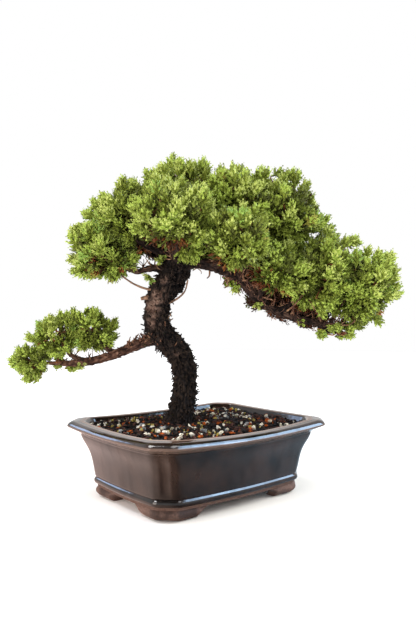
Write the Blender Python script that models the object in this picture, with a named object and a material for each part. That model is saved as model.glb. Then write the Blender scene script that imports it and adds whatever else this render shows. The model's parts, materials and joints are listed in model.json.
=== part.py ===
"""A juniper bonsai in its glazed rectangular pot.

The pot's long side lies along X and its underside on the ground plane. The tree is laid out in a frame of
its own, u to the right, v away from its front and z up, which is turned about Z against the pot. Sizes of
the pot are in metres. The tree's tables are in millimetres, and MM turns them into metres.
"""

import math
import random

import bmesh
import bpy
import numpy as np
from mathutils import Matrix, Vector, noise

MM = 0.001
GAP = 0.0003
CLEARANCE = "_clearance"

# The pot: rim, wall and belt
POT_LENGTH = 0.260
POT_WIDTH = 0.208
POT_HEIGHT = 0.0885
CORNER_CUT = 0.0175
LONG_SIDE_BOW = 0.005
SHORT_SIDE_BOW = 0.003
LONG_SIDE_DIP = 0.0033
SHORT_SIDE_DIP = 0.0015
DIP_STARTS = 0.030
LIP_WIDTH = 0.0155
FLOOR_TOP = 0.020
DRAIN_RADIUS = 0.008
DRAIN_SPACING = 0.104

# The feet
FOOT_HEIGHT = 0.0125
FOOT_LEG_TOP = 0.060
FOOT_LEG_BOTTOM = 0.038
FOOT_THICKNESS = 0.016
FOOT_EDGE_INSET = 0.0275
FOOT_TUCK = 0.005
FOOT_HEIGHTS = (0, 0.0012, 0.004, 0.007, 0.0095)
FOOT_SLOPE = 0.35
FOOT_CURL = 4
FOOT_INNER_CUT = 0.6

# The soil
SOIL_EDGE_HEIGHT = 0.082
SOIL_CROWN_HEIGHT = 0.085
SOIL_WALL_GAP = 0.0005
SOIL_LUMP = 0.012
SOIL_ROUGHNESS = 0.0012
SOIL_RINGS = (0.8, 0.56)
SOIL_FLAT_SHARE = 0.34

# The larger stones that lie in it
STONES = 42
STONE_FIELD = (0.100, 0.074)
STONE_SQUARENESS = 4
STONE_SIDES = 5
STONE_RADII = (0.0036, 0.0050)
STONE_RISE = (0.0026, 0.0036)
STONE_SINK = 0.003
STONE_TRUNK_ROOM = 0.027
STONE_SEED = 4

# How the tree stands in its pot
TREE_TURN = math.radians(-39.5)
TRUNK_FOOT = (-22, 0)

# Masses of foliage: where a bough ends in one, the room each keeps to and its dense core
ENTRY_SHARE = 0.80
TIP_TAPER = 0.7
FULLNESS = 2.6
CELL_MARGIN = 0.5 * MM
LIMB_MARGIN = 1.6 * MM
CORE_VALLEY = 0.64
CORE_PEAK = 0.82
CORE_LUMPS = 0.12
CORE_LUMP_PITCH = 1.7

# Their stems, twigs and sprays
STEM_SHARE = 0.92
STEM_KNEE = 4 * MM
STEM_SIDES = 5
TWIG_SPACING = 30 * MM
TWIG_TRIES = 4
TWIG_SPREAD = 0.16
TWIG_REACH = (0.96, 1.04)
TWIG_RADIUS = 1.5 * MM
TWIG_SHOWS = 0.6
SPRAY_LENGTH = 30 * MM
SPRAY_WIDTH = 15 * MM
SPRAY_RIDGE = 4 * MM
SPRAY_SINK = 4.5 * MM
SPRAY_LIFT = 0.45
SPRAY_SIZES = (0.9, 1.12)
SPRAY_ROOM = 25 * MM
SEED = 11

# Half the outline of a spray from root to tip, as shares of its length and width: teeth with notches between
SPRAY_TEETH = ((0.62, 0.5), (0.62, 0.22))

# The pot's outer face, from its underside up to the lip: height and inset from the rim's outer edge
OUTER_FACE = (
    (0.0125, 0.0272),
    (0.0160, 0.0264),
    (0.0166, 0.0244),
    (0.0195, 0.0234),
    (0.0224, 0.0244),
    (0.0234, 0.0258),
    (0.0250, 0.0246),
    (0.0440, 0.0218),
    (0.0551, 0.0189),
    (0.0667, 0.0139),
    (0.0722, 0.0121),
    (0.0735, 0.0125),
    (0.0765, 0.0091),
    (0.0815, 0.0012),
    (0.0830, 0.0000),
    (0.0870, 0.0000),
    (0.0885, 0.0012),
)

# Its inner face, from the lip down to the floor
INNER_FACE = (
    (0.0885, LIP_WIDTH),
    (0.0872, LIP_WIDTH + 0.0012),
    (0.0765, 0.0178),
    (0.0667, 0.0220),
    (0.0440, 0.0298),
    (0.0240, 0.0330),
    (FLOOR_TOP, 0.0360),
)

# A limb is a row of points (u, v, z, diameter) that a smooth curve runs through
TRUNK = (
    (-22, 0, 85.3, 33),
    (-20, 0, 93, 29),
    (-16.5, 0, 118, 26.4),
    (-15.5, 0, 145, 25.6),
    (-22, -1, 164, 26),
    (-35, -2, 180, 27.6),
    (-46, -2, 194, 29),
    (-49.5, -1, 212, 27),
    (-44.5, 0, 236, 28.4),
    (-31, 1, 258, 31.5),
    (-24, 1, 276, 31),
    (-18, 0, 294, 22),
    (-13, 0, 309, 13),
)

# Each bough: the limb it leaves, then its points
BOUGHS = {
    "bough_low_left": (
        "trunk",
        ((-40, -2, 189, 17), (-60, -3, 181.5, 12.5), (-80, -4, 173.5, 11), (-104, -4, 163.8, 10.2),
         (-128, -4, 157.6, 9.2), (-150, -4, 155, 7.4), (-166, -4, 155, 5)),
    ),
    "bough_low_left_inner": (
        "bough_low_left",
        ((-98, -4, 165.6, 6.5), (-104, -3, 169.5, 6), (-111, -2, 174, 4.5)),
    ),
    "bough_low_left_middle": (
        "bough_low_left",
        ((-136, -4, 156.8, 6), (-147, -4, 162, 5.4), (-156, -4, 169, 4.6)),
    ),
    "bough_left": (
        "trunk",
        ((-36, 0, 266, 11), (-52, -3, 269.5, 8.5), (-64, -6, 267, 7.5), (-78, -9, 266, 5.5)),
    ),
    "bough_left_top": (
        "trunk",
        ((-22, 0, 281, 13), (-38, -7, 287, 11), (-56, -13, 294, 9), (-73, -15, 305, 6)),
    ),
    "bough_left_back": (
        "trunk",
        ((-27, 4, 272, 12), (-43, 20, 281, 9.5), (-58, 38, 289, 8), (-68, 49, 297, 6)),
    ),
    "bough_front": (
        "trunk",
        ((-24, -2, 272, 11), (-26, -18, 278, 9), (-24, -34, 288, 7), (-22, -45, 299, 5.5)),
    ),
    "bough_back": (
        "trunk",
        ((-20, 2, 284, 12), (-16, 19, 291, 10), (-11, 34, 298, 8), (-8, 46, 305, 6)),
    ),
    "bough_right": (
        "trunk",
        ((-22, 0, 272, 17), (0, -6, 276, 13.5), (28, -11, 267.5, 12), (52, -12, 254.5, 12),
         (67, -11, 238, 11.6), (83, -9, 224, 10.8), (108, -7, 212.5, 10), (140, -5, 204, 8.8),
         (160, -4, 200.5, 7.4), (176, -3, 206, 5.5)),
    ),
    "bough_right_top": (
        "trunk",
        ((-17, -2, 291, 12), (3, -9, 300, 9.5), (22, -12, 310, 7.5), (37, -12, 321, 5.5)),
    ),
    "bough_right_front": (
        "bough_right",
        ((12, -8, 273.5, 8), (23, -24, 274, 7), (34, -42, 273, 5.8), (40, -52, 277, 4.6)),
    ),
    "bough_right_middle": (
        "bough_right",
        ((46, -12, 258, 8.5), (60, -4, 270, 8), (80, 0, 285, 7), (97, -3, 300, 5.5)),
    ),
    "bough_right_back": (
        "bough_right",
        ((30, -11, 267, 9), (37, 8, 273, 8), (47, 28, 282, 7), (56, 42, 292, 5.6)),
    ),
    "bough_right_low": (
        "bough_right",
        ((72, -11, 232.5, 7.6), (75, -16, 240, 6.6), (80, -22, 248, 5.4)),
    ),
    "bough_tail_inner": (
        "bough_right",
        ((98, -8, 216, 7.6), (106, -9, 223, 7), (116, -10, 231, 6)),
    ),
    "bough_tail_back": (
        "bough_right",
        ((104, -7, 213.6, 8), (110, 8, 221, 7), (121, 25, 230, 6), (129, 36, 238, 5)),
    ),
    "bough_tail_under": (
        "bough_right",
        ((146, -5, 202, 5.5), (150, -6, 196, 4.6), (156, -7, 193, 4)),
    ),
}

# The bare twigs and the snag on the trunk: the limb each leaves, then its points
BARE_TWIGS = {
    "twig_left_long": ("trunk", ((-46, -2, 244, 3), (-60, -5, 244, 2.6), (-76, -7, 250, 2.2), (-91, -9, 260, 1.8))),
    "twig_left_short": ("trunk", ((-42, -6, 247, 2.6), (-54, -9, 253, 2.2), (-62, -10, 262, 1.8))),
    "twig_right": (
        "trunk",
        ((-42, -3, 225, 3), (-26, -6, 231.5, 2.4), (-15.5, -8, 241, 2.1), (-11.5, -8, 255, 1.8)),
    ),
    "snag_left": ("trunk", ((-44, -4, 231, 9), (-60, -6, 233.5, 6), (-68, -7, 232.5, 4.4))),
}

LIMBS = {"trunk": (None, TRUNK), **BOUGHS, **BARE_TWIGS}

# How each kind of limb is made: its sides, its steps in millimetres and the depth of its flutes
LIMB_SHAPES = {
    "trunk": (12, 8, 0.07),
    "long bough": (9, 11, 0.03),
    "bough": (7, 11, 0.03),
    "snag": (7, 8, 0),
    "twig": (5, 8, 0),
}

# Each mass of foliage: the bough that bears it, its centre and its half sizes
MASSES = {
    "foliage_low_left_inner": ("bough_low_left_inner", (-125, -2, 191), (37, 42, 33)),
    "foliage_low_left_middle": ("bough_low_left_middle", (-167, -4, 188), (36, 42, 34)),
    "foliage_low_left_outer": ("bough_low_left", (-198, -5, 156), (33, 38, 29)),
    "foliage_left_low": ("bough_left", (-111, -12, 288), (53, 62, 41)),
    "foliage_left_top": ("bough_left_top", (-73, -14, 329), (55, 64, 53)),
    "foliage_left_back": ("bough_left_back", (-95, 62, 318), (57, 56, 54)),
    "foliage_top": ("trunk", (-17, 0, 351), (56, 60, 55)),
    "foliage_front": ("bough_front", (-25, -68, 317), (56, 54, 53)),
    "foliage_back": ("bough_back", (-6, 72, 320), (58, 54, 56)),
    "foliage_right_top": ("bough_right_top", (48, -12, 346), (56, 60, 54)),
    "foliage_right_front": ("bough_right_front", (44, -68, 291), (44, 52, 54)),
    "foliage_right_middle": ("bough_right_middle", (105, -5, 331), (54, 60, 57)),
    "foliage_right_back": ("bough_right_back", (70, 66, 314), (60, 56, 56)),
    "foliage_right_low": ("bough_right_low", (92, -30, 265), (40, 50, 45)),
    "foliage_tail_inner": ("bough_tail_inner", (144, -12, 263), (50, 60, 60)),
    "foliage_tail_back": ("bough_tail_back", (142, 58, 259), (56, 52, 52)),
    "foliage_tail_tip": ("bough_right", (194, -3, 247), (53, 59, 58)),
    "foliage_tail_under": ("bough_tail_under", (172, -8, 192), (24, 24, 15)),
}


def make_material(name, colour, roughness):
    material = bpy.data.materials.new(name)
    material.use_nodes = True
    shader = material.node_tree.nodes["Principled BSDF"]
    shader.inputs["Base Color"].default_value = (*colour, 1)
    shader.inputs["Roughness"].default_value = roughness
    return material


def make_object(name, vertices, faces, material, smooth=True):
    mesh = bpy.data.meshes.new(name)
    mesh.from_pydata([tuple(map(float, v)) for v in vertices], [], faces)
    work = bmesh.new()
    work.from_mesh(mesh)
    bmesh.ops.recalc_face_normals(work, faces=work.faces)
    work.to_mesh(mesh)
    work.free()
    if smooth:
        mesh.shade_smooth()
        mesh.set_sharp_from_angle(angle=math.radians(40))
    obj = bpy.data.objects.new(name, mesh)
    bpy.context.scene.collection.objects.link(obj)
    obj.data.materials.append(material)
    return obj


def as_helper(obj):
    obj.hide_render = True
    obj.display_type = "WIRE"
    return obj


def subtract(obj, cutter):
    cut = obj.modifiers.new("cut", "BOOLEAN")
    cut.operation = "DIFFERENCE"
    cut.object = cutter


def ring_faces(first, second, count):
    """Quads between two rings of count vertices that start at these indices."""
    return [(first + i, first + (i + 1) % count, second + (i + 1) % count, second + i) for i in range(count)]


def stacked_rings(rings):
    """A closed solid through rings of equally many points, with a flat face at each end."""
    count = len(rings[0])
    faces = [tuple(range(count))]
    for level in range(len(rings) - 1):
        faces += ring_faces(level * count, (level + 1) * count, count)
    last = (len(rings) - 1) * count
    faces.append(tuple(range(last, last + count)))
    return np.concatenate(rings), faces


# The pot, its feet and the soil


def pot_ring(height, inset):
    """The pot's outline at one height: four bowed sides with cut corners, anticlockwise from the -Y side."""
    half_x = POT_LENGTH / 2 - inset
    half_y = POT_WIDTH / 2 - inset
    fade = min(max((height - DIP_STARTS) / (POT_HEIGHT - DIP_STARTS), 0), 1)
    sides = (
        (half_x, half_y, LONG_SIDE_BOW, LONG_SIDE_DIP, 6),
        (half_y, half_x, SHORT_SIDE_BOW, SHORT_SIDE_DIP, 4),
    ) * 2
    points = []
    for quarter, (run, out, bow, dip, segments) in enumerate(sides):
        turn = Matrix.Rotation(quarter * math.pi / 2, 3, "Z")
        for step in range(segments + 1):
            along = 2 * step / segments - 1
            swell = 1 - along * along
            x = along * (run - CORNER_CUT)
            points.append(turn @ Vector((x, -out - bow * swell, height - dip * swell * fade)))
    return np.array(points)


def add_pot(material):
    rings = [pot_ring(*row) for row in OUTER_FACE + INNER_FACE]
    pot = make_object("pot", *stacked_rings(rings), material)
    for side in (-1, 1):
        bpy.ops.mesh.primitive_cylinder_add(
            vertices=20, radius=DRAIN_RADIUS, depth=FLOOR_TOP * 2, location=(side * DRAIN_SPACING / 2, 0, FLOOR_TOP)
        )
        drill = as_helper(bpy.context.object)
        drill.name = "drain_drill"
        subtract(pot, drill)
    return [pot]


def foot_ring(height):
    """One bracket foot at one height: an L along both sides of a corner, its legs shorter towards the ground."""
    rise = height / FOOT_HEIGHT
    spread = FOOT_SLOPE * rise + (1 - FOOT_SLOPE) * rise**FOOT_CURL
    leg = FOOT_LEG_BOTTOM + (FOOT_LEG_TOP - FOOT_LEG_BOTTOM) * spread
    tuck = FOOT_TUCK * (1 - rise) ** 2
    x = POT_LENGTH / 2 - FOOT_EDGE_INSET - tuck
    y = POT_WIDTH / 2 - FOOT_EDGE_INSET - tuck
    cut = CORNER_CUT
    wall = FOOT_THICKNESS - tuck / 2
    inner_cut = wall * (1 + FOOT_INNER_CUT)
    outline = (
        (x - leg, y), (x - cut, y), (x, y - cut), (x, y - leg),
        (x - wall, y - leg), (x - wall, y - inner_cut), (x - inner_cut, y - wall), (x - leg, y - wall),
    )
    return np.array([(px, py, height) for px, py in outline])


def add_feet(material):
    feet = []
    heights = (*FOOT_HEIGHTS, FOOT_HEIGHT - GAP)
    for end, x_sign in (("left", -1), ("right", 1)):
        for side, y_sign in (("front", -1), ("back", 1)):
            rings = [foot_ring(height) * (x_sign, y_sign, 1) for height in heights]
            feet.append(make_object(f"foot_{side}_{end}", *stacked_rings(rings), material))
    return feet


def add_soil(material):
    """The soil fills the pot, and its top rises from the wall to a flat place at the trunk's foot."""
    wall = [row for row in reversed(INNER_FACE) if row[0] < SOIL_EDGE_HEIGHT]
    wall.append((SOIL_EDGE_HEIGHT, float(np.interp(SOIL_EDGE_HEIGHT, *zip(*reversed(INNER_FACE))))))
    rings = []
    for height, inset in wall:
        ring = pot_ring(height, inset + SOIL_WALL_GAP)
        ring[:, 2] = max(height, FLOOR_TOP + GAP)
        rings.append(ring)
    foot = np.array(tree_to_pot((*TRUNK_FOOT, 0)))
    edge = rings[-1]
    for share in (*SOIL_RINGS, SOIL_FLAT_SHARE):
        ring = foot + (edge - foot) * share
        rise = (1 - share) / (1 - SOIL_FLAT_SHARE)
        roughness = SOIL_ROUGHNESS if share > SOIL_FLAT_SHARE else 0
        for point in ring:
            bump = noise.noise(Vector(point) / SOIL_LUMP) * roughness
            point[2] = SOIL_EDGE_HEIGHT + (SOIL_CROWN_HEIGHT - SOIL_EDGE_HEIGHT) * rise + bump
        rings.append(ring)
    soil = make_object("soil", *stacked_rings(rings), material)
    stones = bpy.data.collections.new("soil_stones")
    bpy.context.scene.collection.children.link(stones)
    for index, stone in enumerate(soil_stones()):
        loose = make_object(f"soil_stone_{index}", *stone, material, smooth=False)
        bpy.context.scene.collection.objects.unlink(loose)
        stones.objects.link(loose)
    combine(soil, "UNION", stones)
    keep_result(soil, stones)
    return [soil]


def stone_places():
    """Middles of the stones: golden turns, ever further out from the pot's middle, filled out to its corners."""
    index = np.arange(STONES) + 0.5
    angle = index * math.pi * (3 - math.sqrt(5))
    round_way = np.stack([np.cos(angle), np.sin(angle)], axis=1)
    fullness = np.sum(np.abs(round_way) ** STONE_SQUARENESS, axis=1) ** (-1 / STONE_SQUARENESS)
    places = round_way * (fullness * np.sqrt(index / STONES))[:, None] * STONE_FIELD
    foot = np.array(tree_to_pot((*TRUNK_FOOT, 0)))[:2]
    return [place for place in places if np.linalg.norm(place - foot) > STONE_TRUNK_ROOM]


def soil_level(place):
    """The height of the soil's top, without its lumps."""
    foot = np.array(tree_to_pot((*TRUNK_FOOT, 0)))[:2]
    inset = float(np.interp(SOIL_EDGE_HEIGHT, *zip(*reversed(INNER_FACE))))
    half = np.array((POT_LENGTH / 2 - inset, POT_WIDTH / 2 - inset))
    ray = place - foot
    room = np.where(ray > 0, half - foot, half + foot) / np.maximum(np.abs(ray), 1e-9)
    rise = min((1 - 1 / room.min()) / (1 - SOIL_FLAT_SHARE), 1)
    return SOIL_EDGE_HEIGHT + (SOIL_CROWN_HEIGHT - SOIL_EDGE_HEIGHT) * rise


def soil_stones():
    """Each stone is a low block with five sides, drawn in a little towards its flat top."""
    draw = random.Random(STONE_SEED)
    stones = []
    for place in stone_places():
        turn = draw.uniform(0, 2 * math.pi)
        radius = draw.uniform(*STONE_RADII)
        angle = np.arange(STONE_SIDES) * 2 * math.pi / STONE_SIDES + turn
        outline = np.stack([np.cos(angle), np.sin(angle) * draw.uniform(0.7, 1), 0 * angle], axis=1) * radius
        level = soil_level(place)
        middle = np.array((*place, 0))
        low = middle + outline + (0, 0, level - STONE_SINK)
        high = middle + outline * 0.68 + (0, 0, level + draw.uniform(*STONE_RISE))
        stones.append(stacked_rings([low, high]))
    return stones


# The trunk, the boughs and the bare twigs


def tree_to_pot(point):
    """A point of the tree's frame, in millimetres, as a point in metres on the pot's axes."""
    return Matrix.Rotation(TREE_TURN, 3, "Z") @ (Vector(point) * MM)


def smooth_rows(rows, step_mm):
    """Points about step_mm apart along the smooth (Catmull-Rom) curve through rows, in metres."""
    rows = np.array(rows, float)
    padded = np.vstack([2 * rows[0] - rows[1], rows, 2 * rows[-1] - rows[-2]])
    found = []
    for a, b, c, d in zip(padded, padded[1:], padded[2:], padded[3:]):
        steps = max(1, round(np.linalg.norm((c - b)[:3]) / step_mm))
        t = np.arange(steps)[:, None] / steps
        found.append(
            0.5 * (2 * b + (c - a) * t + (2 * a - 5 * b + 4 * c - d) * t**2 + (3 * b - a - 3 * c + d) * t**3)
        )
    return np.vstack([*found, rows[-1:]]) * MM


def limb_kind(name):
    if name == "trunk":
        return name
    if name in ("bough_right", "bough_low_left"):
        return "long bough"
    return name.split("_")[0]


def limb_path(name):
    """The limb's smooth path. One that bears a mass heads for its middle, and ends where it has entered it."""
    rows = LIMBS[name][1]
    step_mm = LIMB_SHAPES[limb_kind(name)][1]
    borne = [(place, size) for bearer, place, size in MASSES.values() if bearer == name]
    if not borne:
        return smooth_rows(rows, step_mm)
    place, size = borne[0]
    path = smooth_rows((*rows, (*place, rows[-1][3] * TIP_TAPER)), step_mm)
    depth = np.linalg.norm((path[:, :3] / MM - place) / size, axis=1)
    first = int(np.argmax(depth < ENTRY_SHARE))
    share = (depth[first - 1] - ENTRY_SHARE) / (depth[first - 1] - depth[first])
    tip = path[first - 1] + (path[first] - path[first - 1]) * share
    keep = first if share > 0.3 else first - 1
    return np.vstack([path[:keep], tip])


def limb_rings(name, path, room=0.0):
    """Rings square to the path, turned as little as they can be. With room, they stand that far off the limb."""
    sides, _, flutes = LIMB_SHAPES[limb_kind(name)]
    tangents = np.gradient(path[:, :3], axis=0)
    tangents /= np.linalg.norm(tangents, axis=1)[:, None]
    if name == "trunk":
        tangents[0] = (0, 0, 1)
    across = np.cross(tangents[0], (0.0, 1.0, 0.0))
    angle = np.arange(sides) * 2 * math.pi / sides
    rings = []
    for index, (point, tangent) in enumerate(zip(path, tangents)):
        across = across - tangent * (across @ tangent)
        across /= np.linalg.norm(across)
        other = np.cross(tangent, across)
        ridge = 1 + flutes * (np.cos(3 * angle + index * 0.35) + 0.7 * np.cos(5 * angle - index * 0.2))
        radius = (point[3] / 2 * ridge + room)[:, None]
        rings.append(point[:3] + radius * (np.cos(angle)[:, None] * across + np.sin(angle)[:, None] * other))
    if room:
        rings.append(rings[-1] + tangents[-1] * room)
    return rings, tangents[-1]


def add_limbs(bark, twig_bark):
    """Every limb, cut back from the limb that bears it, and a slightly fatter copy of each to cut others with."""
    objects = {}
    paths = {}
    tips = {}
    room = bpy.data.collections.new("limb_room")
    bpy.context.scene.collection.children.link(room)
    for name, (bearer, _) in LIMBS.items():
        paths[name] = limb_path(name)
        rings, tips[name] = limb_rings(name, paths[name])
        material = twig_bark if name in BARE_TWIGS else bark
        objects[name] = make_object(name, *stacked_rings(rings), material)
        fatter, _ = limb_rings(name, paths[name], GAP)
        cutter = as_helper(make_object(name + CLEARANCE, *stacked_rings(fatter), material))
        bpy.context.scene.collection.objects.unlink(cutter)
        room.objects.link(cutter)
        if bearer:
            subtract(objects[name], bpy.data.objects[bearer + CLEARANCE])
    return objects, paths, tips, room


# The masses of foliage


def facing(direction):
    """Two directions square to this one and to each other."""
    direction = direction / np.linalg.norm(direction)
    seed = np.array((0.0, 0.0, 1.0)) if abs(direction[2]) < 0.8 else np.array((1.0, 0.0, 0.0))
    across = np.cross(direction, seed)
    across /= np.linalg.norm(across)
    return across, np.cross(direction, across)


def taper(start, end, radius_start, radius_end, sides=3):
    """A straight tapering prism, as vertices and faces."""
    across, other = facing(end - start)
    angle = np.arange(sides)[:, None] * 2 * math.pi / sides
    ring = np.cos(angle) * across + np.sin(angle) * other
    return stacked_rings([start + radius_start * ring, end + radius_end * ring])


def spray_blade(root, along, across, size):
    """A spray of needles as a toothed blade: a root, teeth down both sides and a tip, ridged on both faces."""
    out = np.cross(along, across)
    length = SPRAY_LENGTH * size
    width = SPRAY_WIDTH * size
    outline = [(0, 0), *SPRAY_TEETH, (1, 0), *((a, -b) for a, b in reversed(SPRAY_TEETH))]
    points = [root + along * length * a + across * width * b for a, b in outline]
    middle = root + along * length / 2
    points += [middle + out * SPRAY_RIDGE / 2, middle - out * SPRAY_RIDGE / 2]
    count = len(outline)
    faces = []
    for i in range(count):
        faces += [(i, (i + 1) % count, count), ((i + 1) % count, i, count + 1)]
    return np.array(points), faces


def even_directions(count):
    """Directions spread evenly over the sphere, on a golden spiral."""
    index = np.arange(count) + 0.5
    z = 1 - 2 * index / count
    angle = index * math.pi * (3 - math.sqrt(5))
    flat = np.sqrt(1 - z * z)
    return np.stack([flat * np.cos(angle), flat * np.sin(angle), z], axis=1)


def reach(directions, half):
    """How far a mass reaches each way: an ellipsoid filled out a little towards its corners."""
    return np.sum(np.abs(directions / half) ** FULLNESS, axis=-1) ** (-1 / FULLNESS)


def cell_planes(name):
    """The planes that part this mass from each other one: a unit normal out of its cell, and its distance."""
    centre = np.array(MASSES[name][1], float) * MM
    half = np.array(MASSES[name][2], float) * MM
    planes = []
    for other, (_, place, size) in MASSES.items():
        if other == name:
            continue
        towards = np.array(place, float) * MM - centre
        length = np.linalg.norm(towards)
        normal = towards / length
        own = np.linalg.norm(half * normal)
        theirs = np.linalg.norm(np.array(size, float) * MM * normal)
        planes.append((normal, normal @ centre + length * own / (own + theirs) - CELL_MARGIN))
    return planes


def sampled(points, faces, steps=3):
    """Points along every edge of a small shape."""
    edges = {tuple(sorted((face[i], face[i - 1]))) for face in faces for i in range(len(face))}
    ends = np.array([(points[a], points[b]) for a, b in sorted(edges)])
    share = np.linspace(0, 1, steps + 1)[None, :, None]
    return (ends[:, :1] * (1 - share) + ends[:, 1:] * share).reshape(-1, 3)


class Space:
    """The room that one mass may fill: its cell, less the room round every limb."""

    def __init__(self, name, limb_points):
        self.planes = cell_planes(name)
        self.limb_points = limb_points

    def inside_cell(self, points):
        return all((points @ normal < distance).all() for normal, distance in self.planes)

    def clear_of_limbs(self, points):
        apart = np.linalg.norm(points[:, None] - self.limb_points[None, :, :3], axis=2)
        return (apart > self.limb_points[None, :, 3] / 2 + LIMB_MARGIN).all()

    def holds(self, points, faces):
        return self.inside_cell(points) and self.clear_of_limbs(sampled(points, faces))

    def pulled_in(self, points, centre):
        """Each point moved towards the centre until it lies in the cell."""
        for normal, distance in self.planes:
            out = points @ normal - distance
            depth = distance - centre @ normal
            share = np.where(out > 0, depth / np.maximum(out + depth, 1e-9), 1)
            points = centre + (points - centre) * share[:, None]
        return points


def foliage_core(centre, half, space, turn):
    """The dense middle of a mass: a ball drawn out into a dozen blunt clumps, kept in its cell."""
    work = bmesh.new()
    bmesh.ops.create_icosphere(work, subdivisions=2, radius=1)
    ball = np.array([turn @ vertex.co for vertex in work.verts])
    share = np.array([CORE_PEAK if len(vertex.link_edges) == 5 else CORE_VALLEY for vertex in work.verts])
    faces = [tuple(vertex.index for vertex in face.verts) for face in work.faces]
    work.free()
    lumps = np.array([noise.noise(Vector(point) * CORE_LUMP_PITCH + Vector(centre) / MM) for point in ball])
    points = centre + ball * (reach(ball, half) * share * (1 + CORE_LUMPS * lumps))[:, None]
    return space.pulled_in(points, centre), faces


def foliage_stem(tip_point, heading, centre):
    """The stem of a mass: it goes on from the bough's tip, bends to the mass's middle and thins."""
    start = tip_point[:3]
    radius = tip_point[3] / 2 * STEM_SHARE
    knee = start + heading * STEM_KNEE
    across, other = facing(heading)
    angle = np.arange(STEM_SIDES)[:, None] * 2 * math.pi / STEM_SIDES
    ring = (np.cos(angle) * across + np.sin(angle) * other) * radius
    return stacked_rings([start + ring, knee + ring * 0.9, centre + ring * 0.4])


def twig_with_spray(root, direction, half, scale, draw):
    """One straight twig, the part of it that shows and the spray on its end, each as vertices and faces."""
    direction = direction + [draw.uniform(-TWIG_SPREAD, TWIG_SPREAD) for _ in range(3)]
    direction /= np.linalg.norm(direction)
    length = reach(direction, half) * draw.uniform(*TWIG_REACH) - (SPRAY_LENGTH - SPRAY_SINK) * scale
    end = root + direction * length
    radius = TWIG_RADIUS * scale
    twig = taper(root, end, radius * 1.4, radius * 0.7)
    shown = taper(root + (end - root) * TWIG_SHOWS, end, radius, radius)
    along = direction + (0, 0, SPRAY_LIFT)
    along /= np.linalg.norm(along)
    side, up = facing(along)
    roll = draw.uniform(0, math.pi)
    across = side * math.cos(roll) + up * math.sin(roll)
    blade = spray_blade(end - along * SPRAY_SINK * scale, along, across, draw.uniform(*SPRAY_SIZES) * scale)
    return twig, shown, blade


def foliage_pieces(name, tip_point, heading, space, draw):
    """The core, stem, twigs and sprays of one mass. A twig that leaves its space is drawn anew a few times."""
    centre = np.array(MASSES[name][1], float) * MM
    half = np.array(MASSES[name][2], float) * MM
    turn = Matrix.Rotation(draw.uniform(0, math.pi), 3, Vector((draw.random(), draw.random(), 1)))
    pieces = [foliage_core(centre, half, space, turn), foliage_stem(tip_point, heading, centre)]
    area = 4 * math.pi * np.prod(half) ** (2 / 3)
    scale = min(1, min(half) / SPRAY_ROOM)
    for direction in even_directions(round(area / (TWIG_SPACING * scale) ** 2)):
        for _ in range(TWIG_TRIES):
            twig, shown, blade = twig_with_spray(centre, direction, half, scale, draw)
            if space.holds(*shown) and space.holds(*blade):
                pieces += [twig, blade]
                break
    return pieces


def largest_shell(mesh):
    """Keeps the outer surface of the biggest body in a mesh, so that scraps and sealed hollows go."""
    work = bmesh.new()
    work.from_mesh(mesh)
    bmesh.ops.triangulate(work, faces=work.faces)
    left = set(work.faces)
    shells = []
    while left:
        found = [left.pop()]
        for face in found:
            near = {other for edge in face.edges for other in edge.link_faces} & left
            left -= near
            found += near
        volume = sum(
            face.verts[0].co.dot(face.verts[1].co.cross(face.verts[2].co)) / 6 for face in found
        )
        shells.append((volume, found))
    shells.sort(key=lambda shell: shell[0])
    for _, faces in shells[:-1]:
        bmesh.ops.delete(work, geom=faces, context="FACES")
    work.to_mesh(mesh)
    work.free()


def combine(body, operation, collection):
    change = body.modifiers.new(operation.lower(), "BOOLEAN")
    change.operation = operation
    change.operand_type = "COLLECTION"
    change.collection = collection
    change.solver = "MANIFOLD"


def keep_result(body, others):
    """Gives a body the mesh that its Booleans make, and clears away what they read."""
    graph = bpy.context.evaluated_depsgraph_get()
    mesh = bpy.data.meshes.new_from_object(body.evaluated_get(graph))
    body.modifiers.clear()
    body.data = mesh
    for loose in list(others.objects):
        bpy.data.objects.remove(loose)
    bpy.data.collections.remove(others)
    largest_shell(mesh)


def fused(name, pieces, limb_room, material):
    """One solid from many overlapping pieces, cut clear of the limbs by a Boolean on a collection."""
    body = make_object(name, *pieces[0], material, smooth=False)
    others = bpy.data.collections.new(f"{name}_pieces")
    bpy.context.scene.collection.children.link(others)
    for index, piece in enumerate(pieces[1:]):
        loose = make_object(f"{name}_piece_{index}", *piece, material, smooth=False)
        bpy.context.scene.collection.objects.unlink(loose)
        others.objects.link(loose)
    combine(body, "UNION", others)
    combine(body, "DIFFERENCE", limb_room)
    keep_result(body, others)
    return body


def add_foliage(paths, tips, limb_room, material):
    limb_points = np.vstack(list(paths.values()))
    masses = []
    for index, (name, (bearer, _, _)) in enumerate(MASSES.items()):
        draw = random.Random(SEED + index)
        space = Space(name, limb_points)
        pieces = foliage_pieces(name, paths[bearer][-1], tips[bearer], space, draw)
        masses.append(fused(name, pieces, limb_room, material))
    return masses


def centre_on_ground(nodes, root):
    """Moves the root so that the middle of the whole part's box stands over the origin."""
    bpy.context.view_layer.update()
    graph = bpy.context.evaluated_depsgraph_get()
    corners = []
    for node in nodes:
        shape = node.evaluated_get(graph)
        places = np.empty(len(shape.data.vertices) * 3)
        shape.data.vertices.foreach_get("co", places)
        world = np.array(shape.matrix_world)
        corners.append(places.reshape(-1, 3) @ world[:3, :3].T + world[:3, 3])
    places = np.vstack(corners)
    middle = (places.min(axis=0) + places.max(axis=0)) / 2
    root.location = (-middle[0], -middle[1], -places[:, 2].min())


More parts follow.
